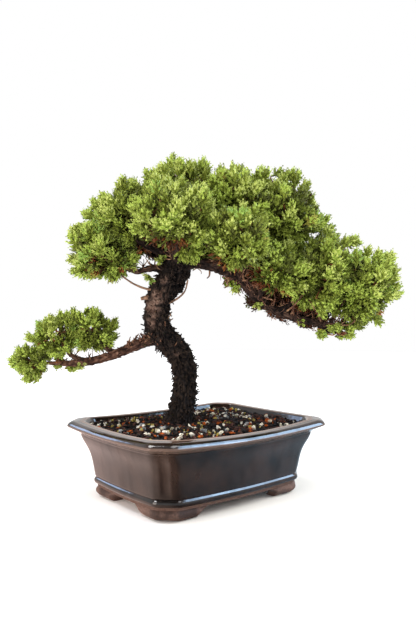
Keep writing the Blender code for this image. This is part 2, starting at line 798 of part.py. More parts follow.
def main():
    for obj in list(bpy.data.objects):
        bpy.data.objects.remove(obj)
    glaze = make_material("dark brown glaze", (0.035, 0.028, 0.026), 0.1)
    clay = make_material("brown clay", (0.11, 0.055, 0.04), 0.8)
    grit = make_material("potting grit", (0.05, 0.035, 0.025), 0.95)
    bark = make_material("juniper bark", (0.045, 0.03, 0.022), 0.9)
    twig_bark = make_material("twig bark", (0.16, 0.09, 0.05), 0.85)
    needles = make_material("juniper needles", (0.13, 0.24, 0.045), 0.6)

    root = bpy.data.objects.new("part_origin", None)
    tree = bpy.data.objects.new("tree_turn", None)
    for empty in (root, tree):
        bpy.context.scene.collection.objects.link(empty)
    tree.parent = root
    tree.rotation_euler = (0, 0, TREE_TURN)

    potted = add_pot(glaze) + add_feet(clay) + add_soil(grit)
    limbs, paths, tips, limb_room = add_limbs(bark, twig_bark)
    grown = list(limbs.values()) + add_foliage(paths, tips, limb_room, needles)
    for obj in bpy.data.objects:
        if obj.type == "MESH":
            obj.parent = root if obj in potted or obj.name.startswith("drain") else tree
    centre_on_ground(potted + grown, root)


main()
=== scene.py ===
# A juniper bonsai in a glazed rectangular pot: the looks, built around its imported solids.
# Sizes are in metres, unless a name ends in Mm. The tree has a frame of its own, as seen from its front:
# u to the right, v away and z up, turned about Z against the pot, whose long side lies along X.

import json
import math
import random

import bpy
import numpy as np
from mathutils import Matrix, Vector

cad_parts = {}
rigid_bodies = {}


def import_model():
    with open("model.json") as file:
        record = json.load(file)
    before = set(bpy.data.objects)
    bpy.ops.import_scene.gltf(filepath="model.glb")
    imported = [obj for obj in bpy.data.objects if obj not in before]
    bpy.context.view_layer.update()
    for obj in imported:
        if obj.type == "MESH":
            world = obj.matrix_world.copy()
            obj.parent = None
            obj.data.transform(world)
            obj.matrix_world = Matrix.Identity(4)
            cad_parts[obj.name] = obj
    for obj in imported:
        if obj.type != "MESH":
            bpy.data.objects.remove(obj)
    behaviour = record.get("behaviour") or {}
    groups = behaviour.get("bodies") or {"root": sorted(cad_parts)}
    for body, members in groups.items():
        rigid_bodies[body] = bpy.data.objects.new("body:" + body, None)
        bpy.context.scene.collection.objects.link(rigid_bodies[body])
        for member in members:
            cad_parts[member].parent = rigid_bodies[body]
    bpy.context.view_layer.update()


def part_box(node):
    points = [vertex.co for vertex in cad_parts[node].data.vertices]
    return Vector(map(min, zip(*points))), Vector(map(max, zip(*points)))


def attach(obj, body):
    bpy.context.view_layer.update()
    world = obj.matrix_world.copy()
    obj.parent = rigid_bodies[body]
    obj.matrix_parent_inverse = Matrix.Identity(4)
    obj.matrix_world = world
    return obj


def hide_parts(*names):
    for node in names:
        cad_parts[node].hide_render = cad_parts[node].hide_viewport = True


for leftover in list(bpy.data.objects):
    bpy.data.objects.remove(leftover)
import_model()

mm = 0.001
goldenAngle = math.pi * (3 - math.sqrt(5))
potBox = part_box("pot")
potMiddle = np.array(((potBox[0].x + potBox[1].x) / 2, (potBox[0].y + potBox[1].y) / 2, 0))
treeTurn = math.radians(-39.5)
turnMatrix = np.array(
    ((math.cos(treeTurn), -math.sin(treeTurn), 0), (math.sin(treeTurn), math.cos(treeTurn), 0), (0, 0, 1))
)


def treeToWorld(points):
    # turned about Z, then moved from the pot's middle
    return points @ turnMatrix.T + potMiddle


# Meshes


def addPiece(name, points, faceSets, materials, slots=None, smooth=True, attributes=None):
    # faceSets are arrays of faces with equally many corners, and slots gives each set's material numbers
    mesh = bpy.data.meshes.new(name)
    points = np.asarray(points, np.float32).reshape(-1, 3)
    mesh.vertices.add(len(points))
    mesh.vertices.foreach_set("co", points.ravel())
    corners = np.concatenate([faces.ravel() for faces in faceSets]).astype(np.int32)
    sizes = np.concatenate([np.full(len(faces), faces.shape[1]) for faces in faceSets])
    starts = np.concatenate([[0], np.cumsum(sizes)[:-1]]).astype(np.int32)
    mesh.loops.add(len(corners))
    mesh.loops.foreach_set("vertex_index", corners)
    mesh.polygons.add(len(starts))
    mesh.polygons.foreach_set("loop_start", starts)
    for material in materials:
        mesh.materials.append(material)
    if slots is not None:
        mesh.polygons.foreach_set("material_index", np.concatenate(slots).astype(np.int32))
    mesh.polygons.foreach_set("use_smooth", np.full(len(starts), smooth))
    for key, values in (attributes or {}).items():
        layer = mesh.attributes.new(key, "FLOAT", "POINT")
        layer.data.foreach_set("value", np.asarray(values, np.float32).ravel())
    mesh.update(calc_edges=True)
    piece = bpy.data.objects.new(name, mesh)
    bpy.context.scene.collection.objects.link(piece)
    return piece


def gridFaces(rows, columns):
    # quads between neighbouring rows of a grid that closes round its columns
    row, column = np.meshgrid(np.arange(rows - 1), np.arange(columns), indexing="ij")
    following = (column + 1) % columns
    first, second = row * columns, (row + 1) * columns
    corners = [first + column, first + following, second + following, second + column]
    return np.stack(corners, axis=-1).reshape(-1, 4)


def endCaps(rows, columns):
    # the polygons that close the first and the last row of such a grid
    ring = np.arange(columns)
    return np.stack([ring[::-1], (rows - 1) * columns + ring])


def repeated(faces, count, pointsEach):
    # the faces of one shape for each of count shapes whose points follow each other
    return (faces[None] + (np.arange(count) * pointsEach)[:, None, None]).reshape(-1, faces.shape[1])


def unit(vectors):
    # each vector by its own length
    return vectors / np.maximum(np.linalg.norm(vectors, axis=-1, keepdims=True), 1e-12)


def squareTo(directions):
    # two directions square to each of these and to each other
    seed = np.where(np.abs(directions[..., 2:]) < 0.8, (0.0, 0.0, 1.0), (1.0, 0.0, 0.0))
    across = unit(np.cross(directions, seed))
    return across, np.cross(directions, across)


def between(first, second, angle):
    # the direction at an angle from the first towards the second, square one: first cos a + second sin a
    return np.cos(angle) * first + np.sin(angle) * second


def turned(points, cosine, sine):
    # turned about Z: x cos - y sin and x sin + y cos
    x, y, z = np.moveaxis(points, -1, 0)
    return np.stack([x * cosine - y * sine, x * sine + y * cosine, z], axis=-1)


def lengthAlong(path):
    # how far along a path each of its points lies: the sum of the straight steps up to it
    return np.concatenate([[0], np.cumsum(np.linalg.norm(np.diff(path, axis=0), axis=1))])


latticeFactors = np.array((374761393, 668265263, 1440662683))  # large odd numbers, to mix a place's bits


def latticeValue(cell, seed):
    # a number from -1 to 1 for each cell of a grid in space, by mixing the bits of its place
    mixed = cell @ latticeFactors + seed * 982451653
    mixed = ((mixed & 0xFFFFFFFF) ^ ((mixed & 0xFFFFFFFF) >> 13)) * 1274126177 & 0xFFFFFFFF
    return (mixed ^ (mixed >> 16)) / 0x7FFFFFFF - 1


def softNoise(points, seed):
    # values at the corners of each unit cell, blended by 3t^2 - 2t^3 along each axis
    cell = np.floor(points).astype(np.int64)
    part = points - cell
    part = part * part * (3 - 2 * part)
    total = np.zeros(points.shape[:-1])
    for corner in np.ndindex(2, 2, 2):
        share = np.prod(np.where(np.array(corner) == 1, part, 1 - part), axis=-1)
        total += share * latticeValue(cell + corner, seed)
    return total


def tubes(paths, radii, sides):
    # many thin round limbs at once, from paths (count, rows, 3) and radii (count, rows): points and faces
    count, rows = radii.shape
    tangents = unit(np.gradient(paths, axis=1))
    across, other = squareTo(tangents[:, :1].repeat(rows, axis=1))
    across = unit(across - tangents * np.sum(across * tangents, -1, keepdims=True))
    other = np.cross(tangents, across)
    angle = np.arange(sides) * 2 * math.pi / sides
    ring = between(across[:, :, None], other[:, :, None], angle[:, None])
    points = paths[:, :, None] + radii[:, :, None, None] * ring
    sideFaces = repeated(gridFaces(rows, sides), count, rows * sides)
    return points.reshape(-1, 3), sideFaces, repeated(endCaps(rows, sides), count, rows * sides)


def ribbons(paths, across, outwards, widths, thickness):
    # many thin closed strips at once: four corners to each row, the middle of the width set off both ways
    count, rows = widths.shape
    half = across * (widths / 2)[..., None]
    thick = outwards * (widths * 0 + thickness / 2)[..., None]
    points = np.stack([paths + half, paths + thick, paths - half, paths - thick], axis=2)
    return (
        points.reshape(-1, 3),
        repeated(gridFaces(rows, 4)[:, ::-1], count, rows * 4),
        repeated(endCaps(rows, 4)[:, ::-1], count, rows * 4),
    )


def smoothCurve(rows, step):
    # a Catmull-Rom curve through rows, read about every step: cubics of t blend four neighbours
    rows = np.array(rows, float)
    padded = np.vstack([2 * rows[0] - rows[1], rows, 2 * rows[-1] - rows[-2]])
    found = []
    for a, b, c, d in zip(padded, padded[1:], padded[2:], padded[3:]):
        steps = max(1, round(np.linalg.norm((c - b)[:3]) / step))
        t = np.arange(steps)[:, None] / steps
        square, cube = 2 * a - 5 * b + 4 * c - d, 3 * b - a - 3 * c + d
        found.append(0.5 * (2 * b + (c - a) * t + square * t**2 + cube * t**3))
    return np.vstack([*found, rows[-1:]])


def roundedRing(ring, passes):
    # each point of a closed ring moves towards its two neighbours, a few times over
    for _ in range(passes):
        ring = (np.roll(ring, 1, axis=1) + 2 * ring + np.roll(ring, -1, axis=1)) / 4
    return ring


def joined(parts):
    # points and face sets of several parts as one, with their numbers moved on
    points, faceSets, start = [], [], 0
    for part in parts:
        points.append(part[0].reshape(-1, 3))
        faceSets += [faces + start for faces in part[1:]]
        start += len(points[-1])
    return np.concatenate(points), faceSets


# Materials


def linearColour(hexCode):
    # each sRGB channel as linear light
    channels = np.array([int(hexCode[i : i + 2], 16) for i in (1, 3, 5)]) / 255
    linear = np.where(channels <= 0.04045, channels / 12.92, ((channels + 0.055) / 1.055) ** 2.4)
    return (*linear.tolist(), 1.0)


# a Mix node's settings for colours. Its inputs are then 6 and 7, and its output is 2
colourMix = {"output": 2, "data_type": "RGBA"}


def addNode(material, kind, values=None, links=None, stops=(), output=0, **settings):
    # one node with its settings, its sockets' values, what feeds them, and a ramp's places and colours. It
    # gives the output that is asked for
    node = material.node_tree.nodes.new("ShaderNode" + kind)
    for key, value in settings.items():
        setattr(node, key, value)
    for socket, value in (values or {}).items():
        node.inputs[socket].default_value = value
    for socket, source in (links or {}).items():
        material.node_tree.links.new(source, node.inputs[socket])
    for index, (place, colour) in enumerate(stops):
        stop = node.color_ramp.elements[index] if index < 2 else node.color_ramp.elements.new(place)
        stop.position = place
        stop.color = linearColour(colour)
    return node.outputs[output]


def newMaterial(name, colour, roughness, ior=1.5, **constants):
    # a material with one shader: constants are sockets that hold the same number all over
    material = bpy.data.materials.new(name)
    material.use_nodes = True
    shader = material.node_tree.nodes["Principled BSDF"]
    shader.inputs["Base Color"].default_value = linearColour(colour)
    shader.inputs["Roughness"].default_value = roughness
    shader.inputs["IOR"].default_value = ior
    for socket, value in constants.items():
        shader.inputs[socket].default_value = value
    return material, shader


def feed(material, shader, **sources):
    # the sockets of the shader that change over the surface
    for socket, source in sources.items():
        material.node_tree.links.new(source, shader.inputs[socket.replace("_", " ")])


# The pot: the outline at each height, carried up its outer face, over the lip and down inside

potShape = {
    "length": 0.260,
    "width": 0.208,
    "height": 0.0885,
    "cornerCut": 0.0175,
    "bows": (0.005, 0.003),  # how far the long and the short sides swell
    "dips": (0.0033, 0.0015),  # how far the rim sags at their middles
    "dipStarts": 0.030,
    "steps": (110, 86, 18),  # along a long side, a short side and a corner
    "rounding": 9,
    "profileStep": 0.0009,
    "fluteDepth": 0.0011,
    "ridges": (0.24, 0.74),  # the two soft ridges of a corner, as shares of its width
    "ridgeWidth": 0.11,
    "grooveBand": (0.024, 0.074, 0.010),  # the ridges' lowest and highest places, and how far they fade in
    "drain": (0.008, 0.052),  # radius, and distance from the middle
    "drill": (0.04, 0.018),  # the length and the middle height of what cuts a drain hole
}

# the profile as heights and insets from the outline: base band and belt, body, cove and rolled lip, inside
beltFace = (
    (0.0125, 0.0272), (0.0160, 0.0264), (0.0166, 0.0244), (0.0195, 0.0234), (0.0224, 0.0244),
    (0.0234, 0.0258),
)
bodyFace = ((0.0250, 0.0246), (0.0440, 0.0218), (0.0551, 0.0189), (0.0667, 0.0139), (0.0722, 0.0121))
lipFace = (
    (0.0735, 0.0125), (0.0765, 0.0091), (0.0808, 0.0016), (0.0817, 0.0001), (0.0826, 0.0001),
    (0.0842, 0.0009), (0.0859, 0.0020), (0.0871, 0.0033), (0.0881, 0.0058),
)
innerFace = (
    (0.0885, 0.0150), (0.0876, 0.0164), (0.0765, 0.0204), (0.0667, 0.0236), (0.0440, 0.0300),
    (0.0240, 0.0330), (0.0200, 0.0360),
)


def potRings(heights, insets):
    # profile rows by points round the outline. A side is x = t (run - cut), y = -(out + bow (1 - t^2)),
    # sunk by dip (1 - t^2). A corner is a cut, hollowed between two ridges. The ring is then rounded off
    height, inset = np.asarray(heights)[:, None], np.asarray(insets)[:, None]
    fade = np.clip((height - potShape["dipStarts"]) / (potShape["height"] - potShape["dipStarts"]), 0, 1)
    sides = []
    for quarter in range(4):
        short = quarter % 2
        run, out = (potShape[key] for key in (("width", "length") if short else ("length", "width")))
        t = np.linspace(-1, 1, potShape["steps"][short] + 1)[None]
        swell = 1 - t * t
        x = t * (run / 2 - inset - potShape["cornerCut"])
        y = inset - out / 2 - potShape["bows"][short] * swell
        z = height - potShape["dips"][short] * swell * fade
        cosine, sine = (1, 0, -1, 0)[quarter], (0, 1, 0, -1)[quarter]
        sides.append(turned(np.stack([x, y, z + 0 * x], axis=-1), cosine, sine))
    u = np.linspace(0, 1, potShape["steps"][2] + 1)[None, 1:-1, None]
    low, high, fadeIn = potShape["grooveBand"]
    body = np.clip((height - low) / fadeIn, 0, 1) * np.clip((high - height) / fadeIn, 0, 1)
    ridges = sum(np.exp(-(((u - middle) / potShape["ridgeWidth"]) ** 2)) for middle in potShape["ridges"])
    flute = potShape["fluteDepth"] * body[..., None] * (ridges - 0.7 * np.sin(math.pi * u) ** 2)
    around, relief = [], []
    for quarter in range(4):
        cut = sides[quarter][:, -1:] * (1 - u) + sides[(quarter + 1) % 4][:, :1] * u
        turn = math.radians(90 * quarter - 45)
        around += [sides[quarter], cut]
        relief += [0 * sides[quarter], flute * (math.cos(turn), math.sin(turn), 0) + 0 * cut]
    ring = roundedRing(np.concatenate(around, axis=1), potShape["rounding"])
    return ring + np.concatenate(relief, axis=1)


def evenProfile(rows, step):
    # a profile read at even steps of its length, with its edges rounded by averaging neighbours
    rows = np.array(rows)
    length = lengthAlong(rows)
    at = np.linspace(0, length[-1], round(length[-1] / step))
    profile = np.stack([np.interp(at, length, rows[:, 0]), np.interp(at, length, rows[:, 1])], axis=1)
    profile[1:-1] = (profile[:-2] + 2 * profile[1:-1] + profile[2:]) / 4
    return profile


# where the glaze thins and turns tan, where it is dull, and where it stops above the bare foot
glazeShape = {
    "edges": ((0.0884, 0.0068), (0.0883, 0.0154)),  # the height and inset of the lip's outer and inner edge
    "edgeWidth": 0.0009,
    "flat": (0.0883, 0.0152),  # the lip's top: above this height and in front of this inset
    "cove": (0.0765, 0.0835, 0.012),  # under the lip: between these heights and in front of this inset
    "thinness": (0.5, 0.7, 0.75, 0.35),  # at the two edges, on the flat top and in the cove
    "bareBelow": 0.0162,
    "flatDullness": 0.3,
}


def makePot():
    # the profile carried round the outline, with each row's glaze worked out from its height and inset
    outer = [*beltFace, *map(tuple, smoothCurve(bodyFace, 0.003)), *lipFace]
    seen = evenProfile([*outer, *innerFace[:3]], potShape["profileStep"])
    profile = np.concatenate([seen, innerFace[3:]])
    rings = potRings(profile[:, 0], profile[:, 1])
    rows, columns = rings.shape[:2]
    level, inset = profile.T
    outerEdge, innerEdge = (
        np.exp(-(((profile - place) / glazeShape["edgeWidth"]) ** 2).sum(axis=1))
        for place in glazeShape["edges"]
    )
    low, high, deepest = glazeShape["cove"]
    cove = (level > low) & (level < high) & (inset < deepest)
    flat = (level > glazeShape["flat"][0]) & (inset < glazeShape["flat"][1])
    places = (outerEdge, innerEdge, flat, cove)
    thin = np.clip(sum(share * place for share, place in zip(glazeShape["thinness"], places)), 0, 1)
    outside = np.arange(rows) < np.argmax(level)
    bare = np.where(outside & (level < glazeShape["bareBelow"]), 1.0, 0.0)
    dull = np.clip(bare + glazeShape["flatDullness"] * flat, 0, 1)
    pot = addPiece(
        "pot_glazed",
        rings + potMiddle,
        [gridFaces(rows, columns), endCaps(rows, columns)],
        [glazeMaterial()],
        attributes={
            key: values[:, None].repeat(columns, axis=1)
            for key, values in (("thinGlaze", thin), ("bareClay", bare), ("dullness", dull))
        },
    )
    drillHoles(pot)
    pot.data.set_sharp_from_angle(angle=math.radians(50))
    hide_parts("pot")
    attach(pot, "root")


def drillHoles(pot):
    # each drain hole is cut by an upright cylinder
    radius, offset = potShape["drain"]
    depth, level = potShape["drill"]
    for side in (-1, 1):
        place = (potMiddle[0] + side * offset, potMiddle[1], level)
        bpy.ops.mesh.primitive_cylinder_add(vertices=32, radius=radius, depth=depth, location=place)
        drill = bpy.context.object
        cut = pot.modifiers.new("drain", "BOOLEAN")
        cut.operation = "DIFFERENCE"
        cut.object = drill
        graph = bpy.context.evaluated_depsgraph_get()
        drilled = bpy.data.meshes.new_from_object(pot.evaluated_get(graph))
        pot.modifiers.clear()
        pot.data = drilled
        bpy.data.objects.remove(drill)


def glazeMaterial():
    # glazed stoneware, dipped and fired: glassy and near black where thick, tan where it thins over an
    # edge, with bare brown clay at the foot
    material, shader = newMaterial("darkBrownStonewareGlaze", "#1c1614", 0.1, ior=1.52)
    place = addNode(material, "TexCoord", output="Object")
    cloud = addNode(material, "TexNoise", {"Scale": 28, "Detail": 3}, {"Vector": place})  # 35 mm clouds
    grain = addNode(material, "TexNoise", {"Scale": 900, "Detail": 2}, {"Vector": place})  # 1 mm clay grit
    upright = addNode(material, "Mapping", {"Scale": (1, 1, 0.22)}, {"Vector": place})
    runs = addNode(material, "TexNoise", {"Scale": 80, "Detail": 2}, {"Vector": upright})  # 12 mm wide runs
    glaze = addNode(material, "ValToRGB", None, {"Fac": cloud}, ((0.35, "#110d0c"), (0.62, "#2a1e19")))
    clay = addNode(material, "ValToRGB", None, {"Fac": grain}, ((0.3, "#412d25"), (0.7, "#63483c")))
    thin = addNode(material, "Attribute", output="Fac", attribute_name="thinGlaze")
    bare = addNode(material, "Attribute", output="Fac", attribute_name="bareClay")
    tan = linearColour("#836a5d")
    broken = addNode(material, "Mix", {7: tan}, {"Factor": thin, 6: glaze}, **colourMix)
    mixed = addNode(material, "Mix", None, {"Factor": bare, 6: broken, 7: clay}, **colourMix)
    dull = addNode(material, "Attribute", output="Fac", attribute_name="dullness")
    rough = addNode(material, "MapRange", {"To Min": 0.08, "To Max": 0.85}, {"Value": dull})
    # where the glaze ran thick it mirrors a little less
    spans = {"From Min": 0.5, "From Max": 0.62, "To Min": 0.5, "To Max": 0.38}
    mirror = addNode(material, "MapRange", spans, {"Value": runs})
    bump = addNode(material, "Bump", {"Strength": 0.25, "Distance": 0.0008}, {"Height": runs})
    feed(material, shader, Base_Color=mixed, Roughness=rough, Specular_IOR_Level=mirror, Normal=bump)
    return material


# The four bracket feet, an L along both sides of each corner

footShape = {
    "height": 0.0125,
    "legs": (0.061, 0.041),  # at its top and at the ground
    "thickness": 0.016,
    "inset": 0.0275,
    "tuck": 0.004,
    "bulge": 0.0030,
    "slope": 0.8,
    "curl": 4,
    "foldDepth": 0.0012,  # how far the bottom edge is rounded in
    "innerBend": 1.6,  # how far the inner corner is cut off, against the leg's thickness
    "sink": 0.0004,  # into the pot's underside
    "step": 0.0014,
    "rows": 14,
}


def footRings():
    # at each height the L's corners: the legs shorten by a slope and a steep curl, as an ogee, and the
    # outside tucks in towards the ground. Points at even steps along its edges are averaged, to round it
    rise = np.linspace(0, 1, footShape["rows"]) ** 0.8
    spread = footShape["slope"] * rise + (1 - footShape["slope"]) * rise ** footShape["curl"]
    leg = footShape["legs"][1] + (footShape["legs"][0] - footShape["legs"][1]) * spread
    tuck = footShape["tuck"] * (1 - rise) ** 2 + footShape["foldDepth"] * np.exp(-rise * 14)
    tuck -= footShape["bulge"] * np.sin(math.pi * rise)
    x = potShape["length"] / 2 - footShape["inset"] - tuck
    y = potShape["width"] / 2 - footShape["inset"] - tuck
    cut, wall = potShape["cornerCut"] + 0 * x, footShape["thickness"] - tuck / 2
    inner = wall * footShape["innerBend"]
    corners = np.array(
        (
            (x - leg, y), (x - cut, y), (x, y - cut), (x, y - leg),
            (x - wall, y - leg), (x - wall, y - inner), (x - inner, y - wall), (x - leg, y - wall),
        )
    )
    corners = np.moveaxis(corners, 2, 0)
    edges = np.roll(corners, -1, axis=1) - corners
    points = []
    for index in range(corners.shape[1]):
        count = max(2, round(np.linalg.norm(edges[-1, index]) / footShape["step"]))
        share = (np.arange(count) / count)[None, :, None]
        points.append(corners[:, index : index + 1] + edges[:, index : index + 1] * share)
    ring = roundedRing(np.concatenate(points, axis=1), 8)
    height = (rise * (footShape["height"] + footShape["sink"]))[:, None, None] + 0 * ring[..., :1]
    return np.concatenate([ring, height], axis=2)


def makeFeet():
    # one foot at each corner, as mirror images of each other
    ring = footRings()
    rows, columns = ring.shape[:2]
    parts = []
    for signX in (-1, 1):
        for signY in (-1, 1):
            foot = ring * (signX, signY, 1) + potMiddle
            # the points of every other foot are read backwards, because a mirror turns the ring's sense
            if signX * signY > 0:
                foot = foot[:, ::-1]
            parts.append((foot, gridFaces(rows, columns), endCaps(rows, columns)))
    points, sets = joined(parts)
    sides, caps = np.concatenate(sets[0::2]), np.concatenate(sets[1::2])
    feet = addPiece("feet_clay", points, [sides, caps], [clayMaterial()])
    feet.data.set_sharp_from_angle(angle=math.radians(60))
    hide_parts("foot_front_left", "foot_front_right", "foot_back_left", "foot_back_right")
    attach(feet, "root")


def clayMaterial():
    # bare stoneware, pressed and fired without glaze: dull brown with sandy grit and darker fire marks
    material, shader = newMaterial("bareBrownStoneware", "#5c4038", 0.85)
    place = addNode(material, "TexCoord", output="Object")
    grain = addNode(material, "TexNoise", {"Scale": 700, "Detail": 3}, {"Vector": place})  # 1.4 mm grit
    cloud = addNode(material, "TexNoise", {"Scale": 45, "Detail": 2}, {"Vector": place})  # 22 mm marks
    colour = addNode(material, "ValToRGB", None, {"Fac": grain}, ((0.3, "#4a362f"), (0.7, "#75594d")))
    dark = addNode(material, "ValToRGB", None, {"Fac": cloud}, ((0.35, "#8f8580"), (0.6, "#ffffff")))
    mixed = addNode(
        material, "Mix", {"Factor": 1.0}, {6: colour, 7: dark}, **colourMix, blend_type="MULTIPLY"
    )
    bump = addNode(material, "Bump", {"Strength": 0.4, "Distance": 0.0005}, {"Height": grain})
    feed(material, shader, Base_Color=mixed, Normal=bump)
    return material


# The potting mix: a rough ground of dark grit, with loose grains and bark strips lying on it

soilShape = {
    "edge": 0.082,
    "crown": 0.085,
    "flat": 0.34,
    "foot": (-0.022, 0.0),  # where the trunk stands, in the tree's frame
    "footRoom": 0.0165,  # no grains this near the trunk's middle
    "wallInset": 0.0165,  # the wall's mean inset at the surface
    "bottom": 0.060,
    "rings": 60,
    "below": 0.0022,  # how far the ground under the loose grit lies below the mean surface
    "lump": 0.0013,
    "lumpSizes": (0.011, 0.0045),
    "grainSpacing": 0.0041,
    "grainCut": 0.015,  # how much the grains' field is cut off at its corners
    "driftSize": 0.016,
    "seed": 5,
    "strips": 230,
    "stripLength": (0.006, 0.016),
    "stripWidth": (0.0012, 0.0032),
    "stripThickness": 0.0009,
    "stones": 42,
    "stoneField": (0.100, 0.074),
    "stoneRadii": (0.0036, 0.0050),
    "stoneRise": (0.0026, 0.0036),
    "stoneRoom": 0.027,  # from the trunk's foot
}

# each kind of grain: how often it comes up, and its least and greatest radius
grainKinds = {
    "black": (0.54, 0.0014, 0.0032),
    "brown": (0.21, 0.0012, 0.0028),
    "orange": (0.08, 0.0013, 0.0029),
    "tan": (0.07, 0.0014, 0.0031),
    "cream": (0.08, 0.0015, 0.0038),
    "grey": (0.02, 0.0016, 0.0030),
}


def soilOutline():
    # the pot's inside at the surface's edge
    inset = float(np.interp(soilShape["edge"], *zip(*reversed(innerFace))))
    return potRings([soilShape["edge"]], [inset + 0.0002])[0]


def soilHeight(points):
    # from the wall up to a flat place at the trunk's foot, by the share of the way out from the foot
    foot = soilFoot()[:2]
    half = np.array((potShape["length"], potShape["width"])) / 2 - soilShape["wallInset"]
    ray = points[..., :2] - foot
    room = np.where(ray > 0, half - foot, half + foot) / np.maximum(np.abs(ray), 1e-9)
    share = np.clip(1 / np.maximum(room.min(axis=-1), 1e-9), 0, 1)
    rise = np.clip((1 - share) / (1 - soilShape["flat"]), 0, 1)
    large, small = soilShape["lumpSizes"]
    lumps = softNoise(points / large, 3) + 0.5 * softNoise(points / small, 4)
    level = soilShape["edge"] + (soilShape["crown"] - soilShape["edge"]) * rise - soilShape["below"]
    return level + soilShape["lump"] * lumps


def soilFoot():
    # where the trunk stands, against the pot's middle
    return turnMatrix @ (*soilShape["foot"], 0)


def makeSoil():
    # rings that shrink from the outline towards the trunk's foot, raised to the soil's height
    outline = soilOutline()
    foot = soilFoot()
    foot[2] = soilShape["edge"]
    share = np.linspace(1, 0.01, soilShape["rings"])[:, None, None]
    top = foot + (outline - foot) * share
    flat = top.copy()
    flat[..., 2] = 0
    top[..., 2] = np.where(share[..., 0] < 1, soilHeight(flat), soilShape["edge"] - soilShape["below"])
    below = outline * (0.9, 0.9, 0) + (0, 0, soilShape["bottom"])
    rings = np.concatenate([below[None], top])
    rows, columns = rings.shape[:2]
    ground = addPiece(
        "soil_ground",
        rings + potMiddle,
        [gridFaces(rows, columns), endCaps(rows, columns)],
        [groundMaterial()],
    )
    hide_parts("soil")
    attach(ground, "root")


def grainBall():
    # an icosahedron, whose flat faces read as a chip of stone
    golden = (1 + math.sqrt(5)) / 2
    pairs = ((1, golden), (-1, golden), (1, -golden), (-1, -golden))
    points = np.array([row for a, b in pairs for row in ((0, a, b), (a, b, 0), (b, 0, a))], float)
    faces = []
    near = np.linalg.norm(points[:, None] - points[None], axis=2) < 2.1
    for i in range(12):
        for j in range(i + 1, 12):
            for k in range(j + 1, 12):
                if near[i, j] and near[j, k] and near[i, k]:
                    normal = np.cross(points[j] - points[i], points[k] - points[i])
                    faces.append((i, j, k) if normal @ points[i] > 0 else (i, k, j))
    return unit(points), np.array(faces)


def chipped(ball, planes, depths):
    # the share of its way out that each point keeps inside the planes n . p = d that cut a chip
    facing = np.einsum("pk,cnk->cpn", ball, planes)
    return np.minimum(1, (depths[:, None] / np.maximum(facing, 1e-6)).min(axis=2))[..., None]


def makeGrains():
    # a jittered grid of chips: each is a dented ball cut by four planes, stretched, turned and half sunk
    draw = np.random.default_rng(soilShape["seed"])
    outline = soilOutline()
    half = np.abs(outline[:, :2]).max(axis=0) - 0.003
    step = soilShape["grainSpacing"]
    x, y = np.meshgrid(np.arange(-half[0], half[0], step), np.arange(-half[1], half[1], step))
    places = np.stack([x, y, 0 * x], axis=-1).reshape(-1, 3)
    places[:, :2] += draw.uniform(-0.5, 0.5, (len(places), 2)) * step
    # inside the cut corners, and off the trunk
    places = places[np.abs(places[:, 0]) + np.abs(places[:, 1]) < half.sum() - soilShape["grainCut"]]
    fromTrunk = np.linalg.norm(places - soilFoot(), axis=1)
    places, fromTrunk = (row[fromTrunk > soilShape["footRoom"]] for row in (places, fromTrunk))
    count = len(places)
    shares, least, greatest = (np.array(column) for column in zip(*grainKinds.values()))
    # the pale kinds lie in drifts, and hardly any by the trunk
    drift = np.clip(0.75 + 1.6 * softNoise(places / soilShape["driftSize"], 8), 0.12, 2.4)
    drift *= np.clip((fromTrunk - 0.015) / 0.025, 0.15, 1)
    pale = np.array([key in ("cream", "tan", "grey") for key in grainKinds])
    shares = np.where(pale, shares * drift[:, None], shares)
    shares = np.cumsum(shares / shares.sum(axis=1, keepdims=True), axis=1)
    kind = np.minimum((draw.random((count, 1)) > shares).sum(axis=1), len(grainKinds) - 1)
    size = least[kind] + (greatest - least)[kind] * draw.random(count) ** 2
    shape, faces = grainBall()
    stretch = draw.uniform(0.6, 1.4, (count, 1, 3)) * (1, 1, 0.8)
    dents = draw.uniform(0.85, 1.15, (count, len(shape), 1))
    planes = unit(draw.normal(0, 1, (count, 4, 3)))
    dents = dents * chipped(shape, planes, draw.uniform(0.4, 0.8, (count, 4)))
    turns = draw.uniform(0, 2 * math.pi, (count, 1))
    chips = turned(shape[None] * dents * stretch * size[:, None, None], np.cos(turns), np.sin(turns))
    places[:, 2] = soilHeight(places) + size * draw.uniform(0.15, 0.85, count)
    points = chips + places[:, None]
    for index, key in enumerate(grainKinds):
        chosen = points[kind == index]
        grains = addPiece(
            f"grains_{key}",
            chosen + potMiddle,
            [repeated(faces, len(chosen), len(shape))],
            [grainMaterial(key)],
            smooth=False,
        )
        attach(grains, "root")
    makeStrips(draw, places)
    makeStones()


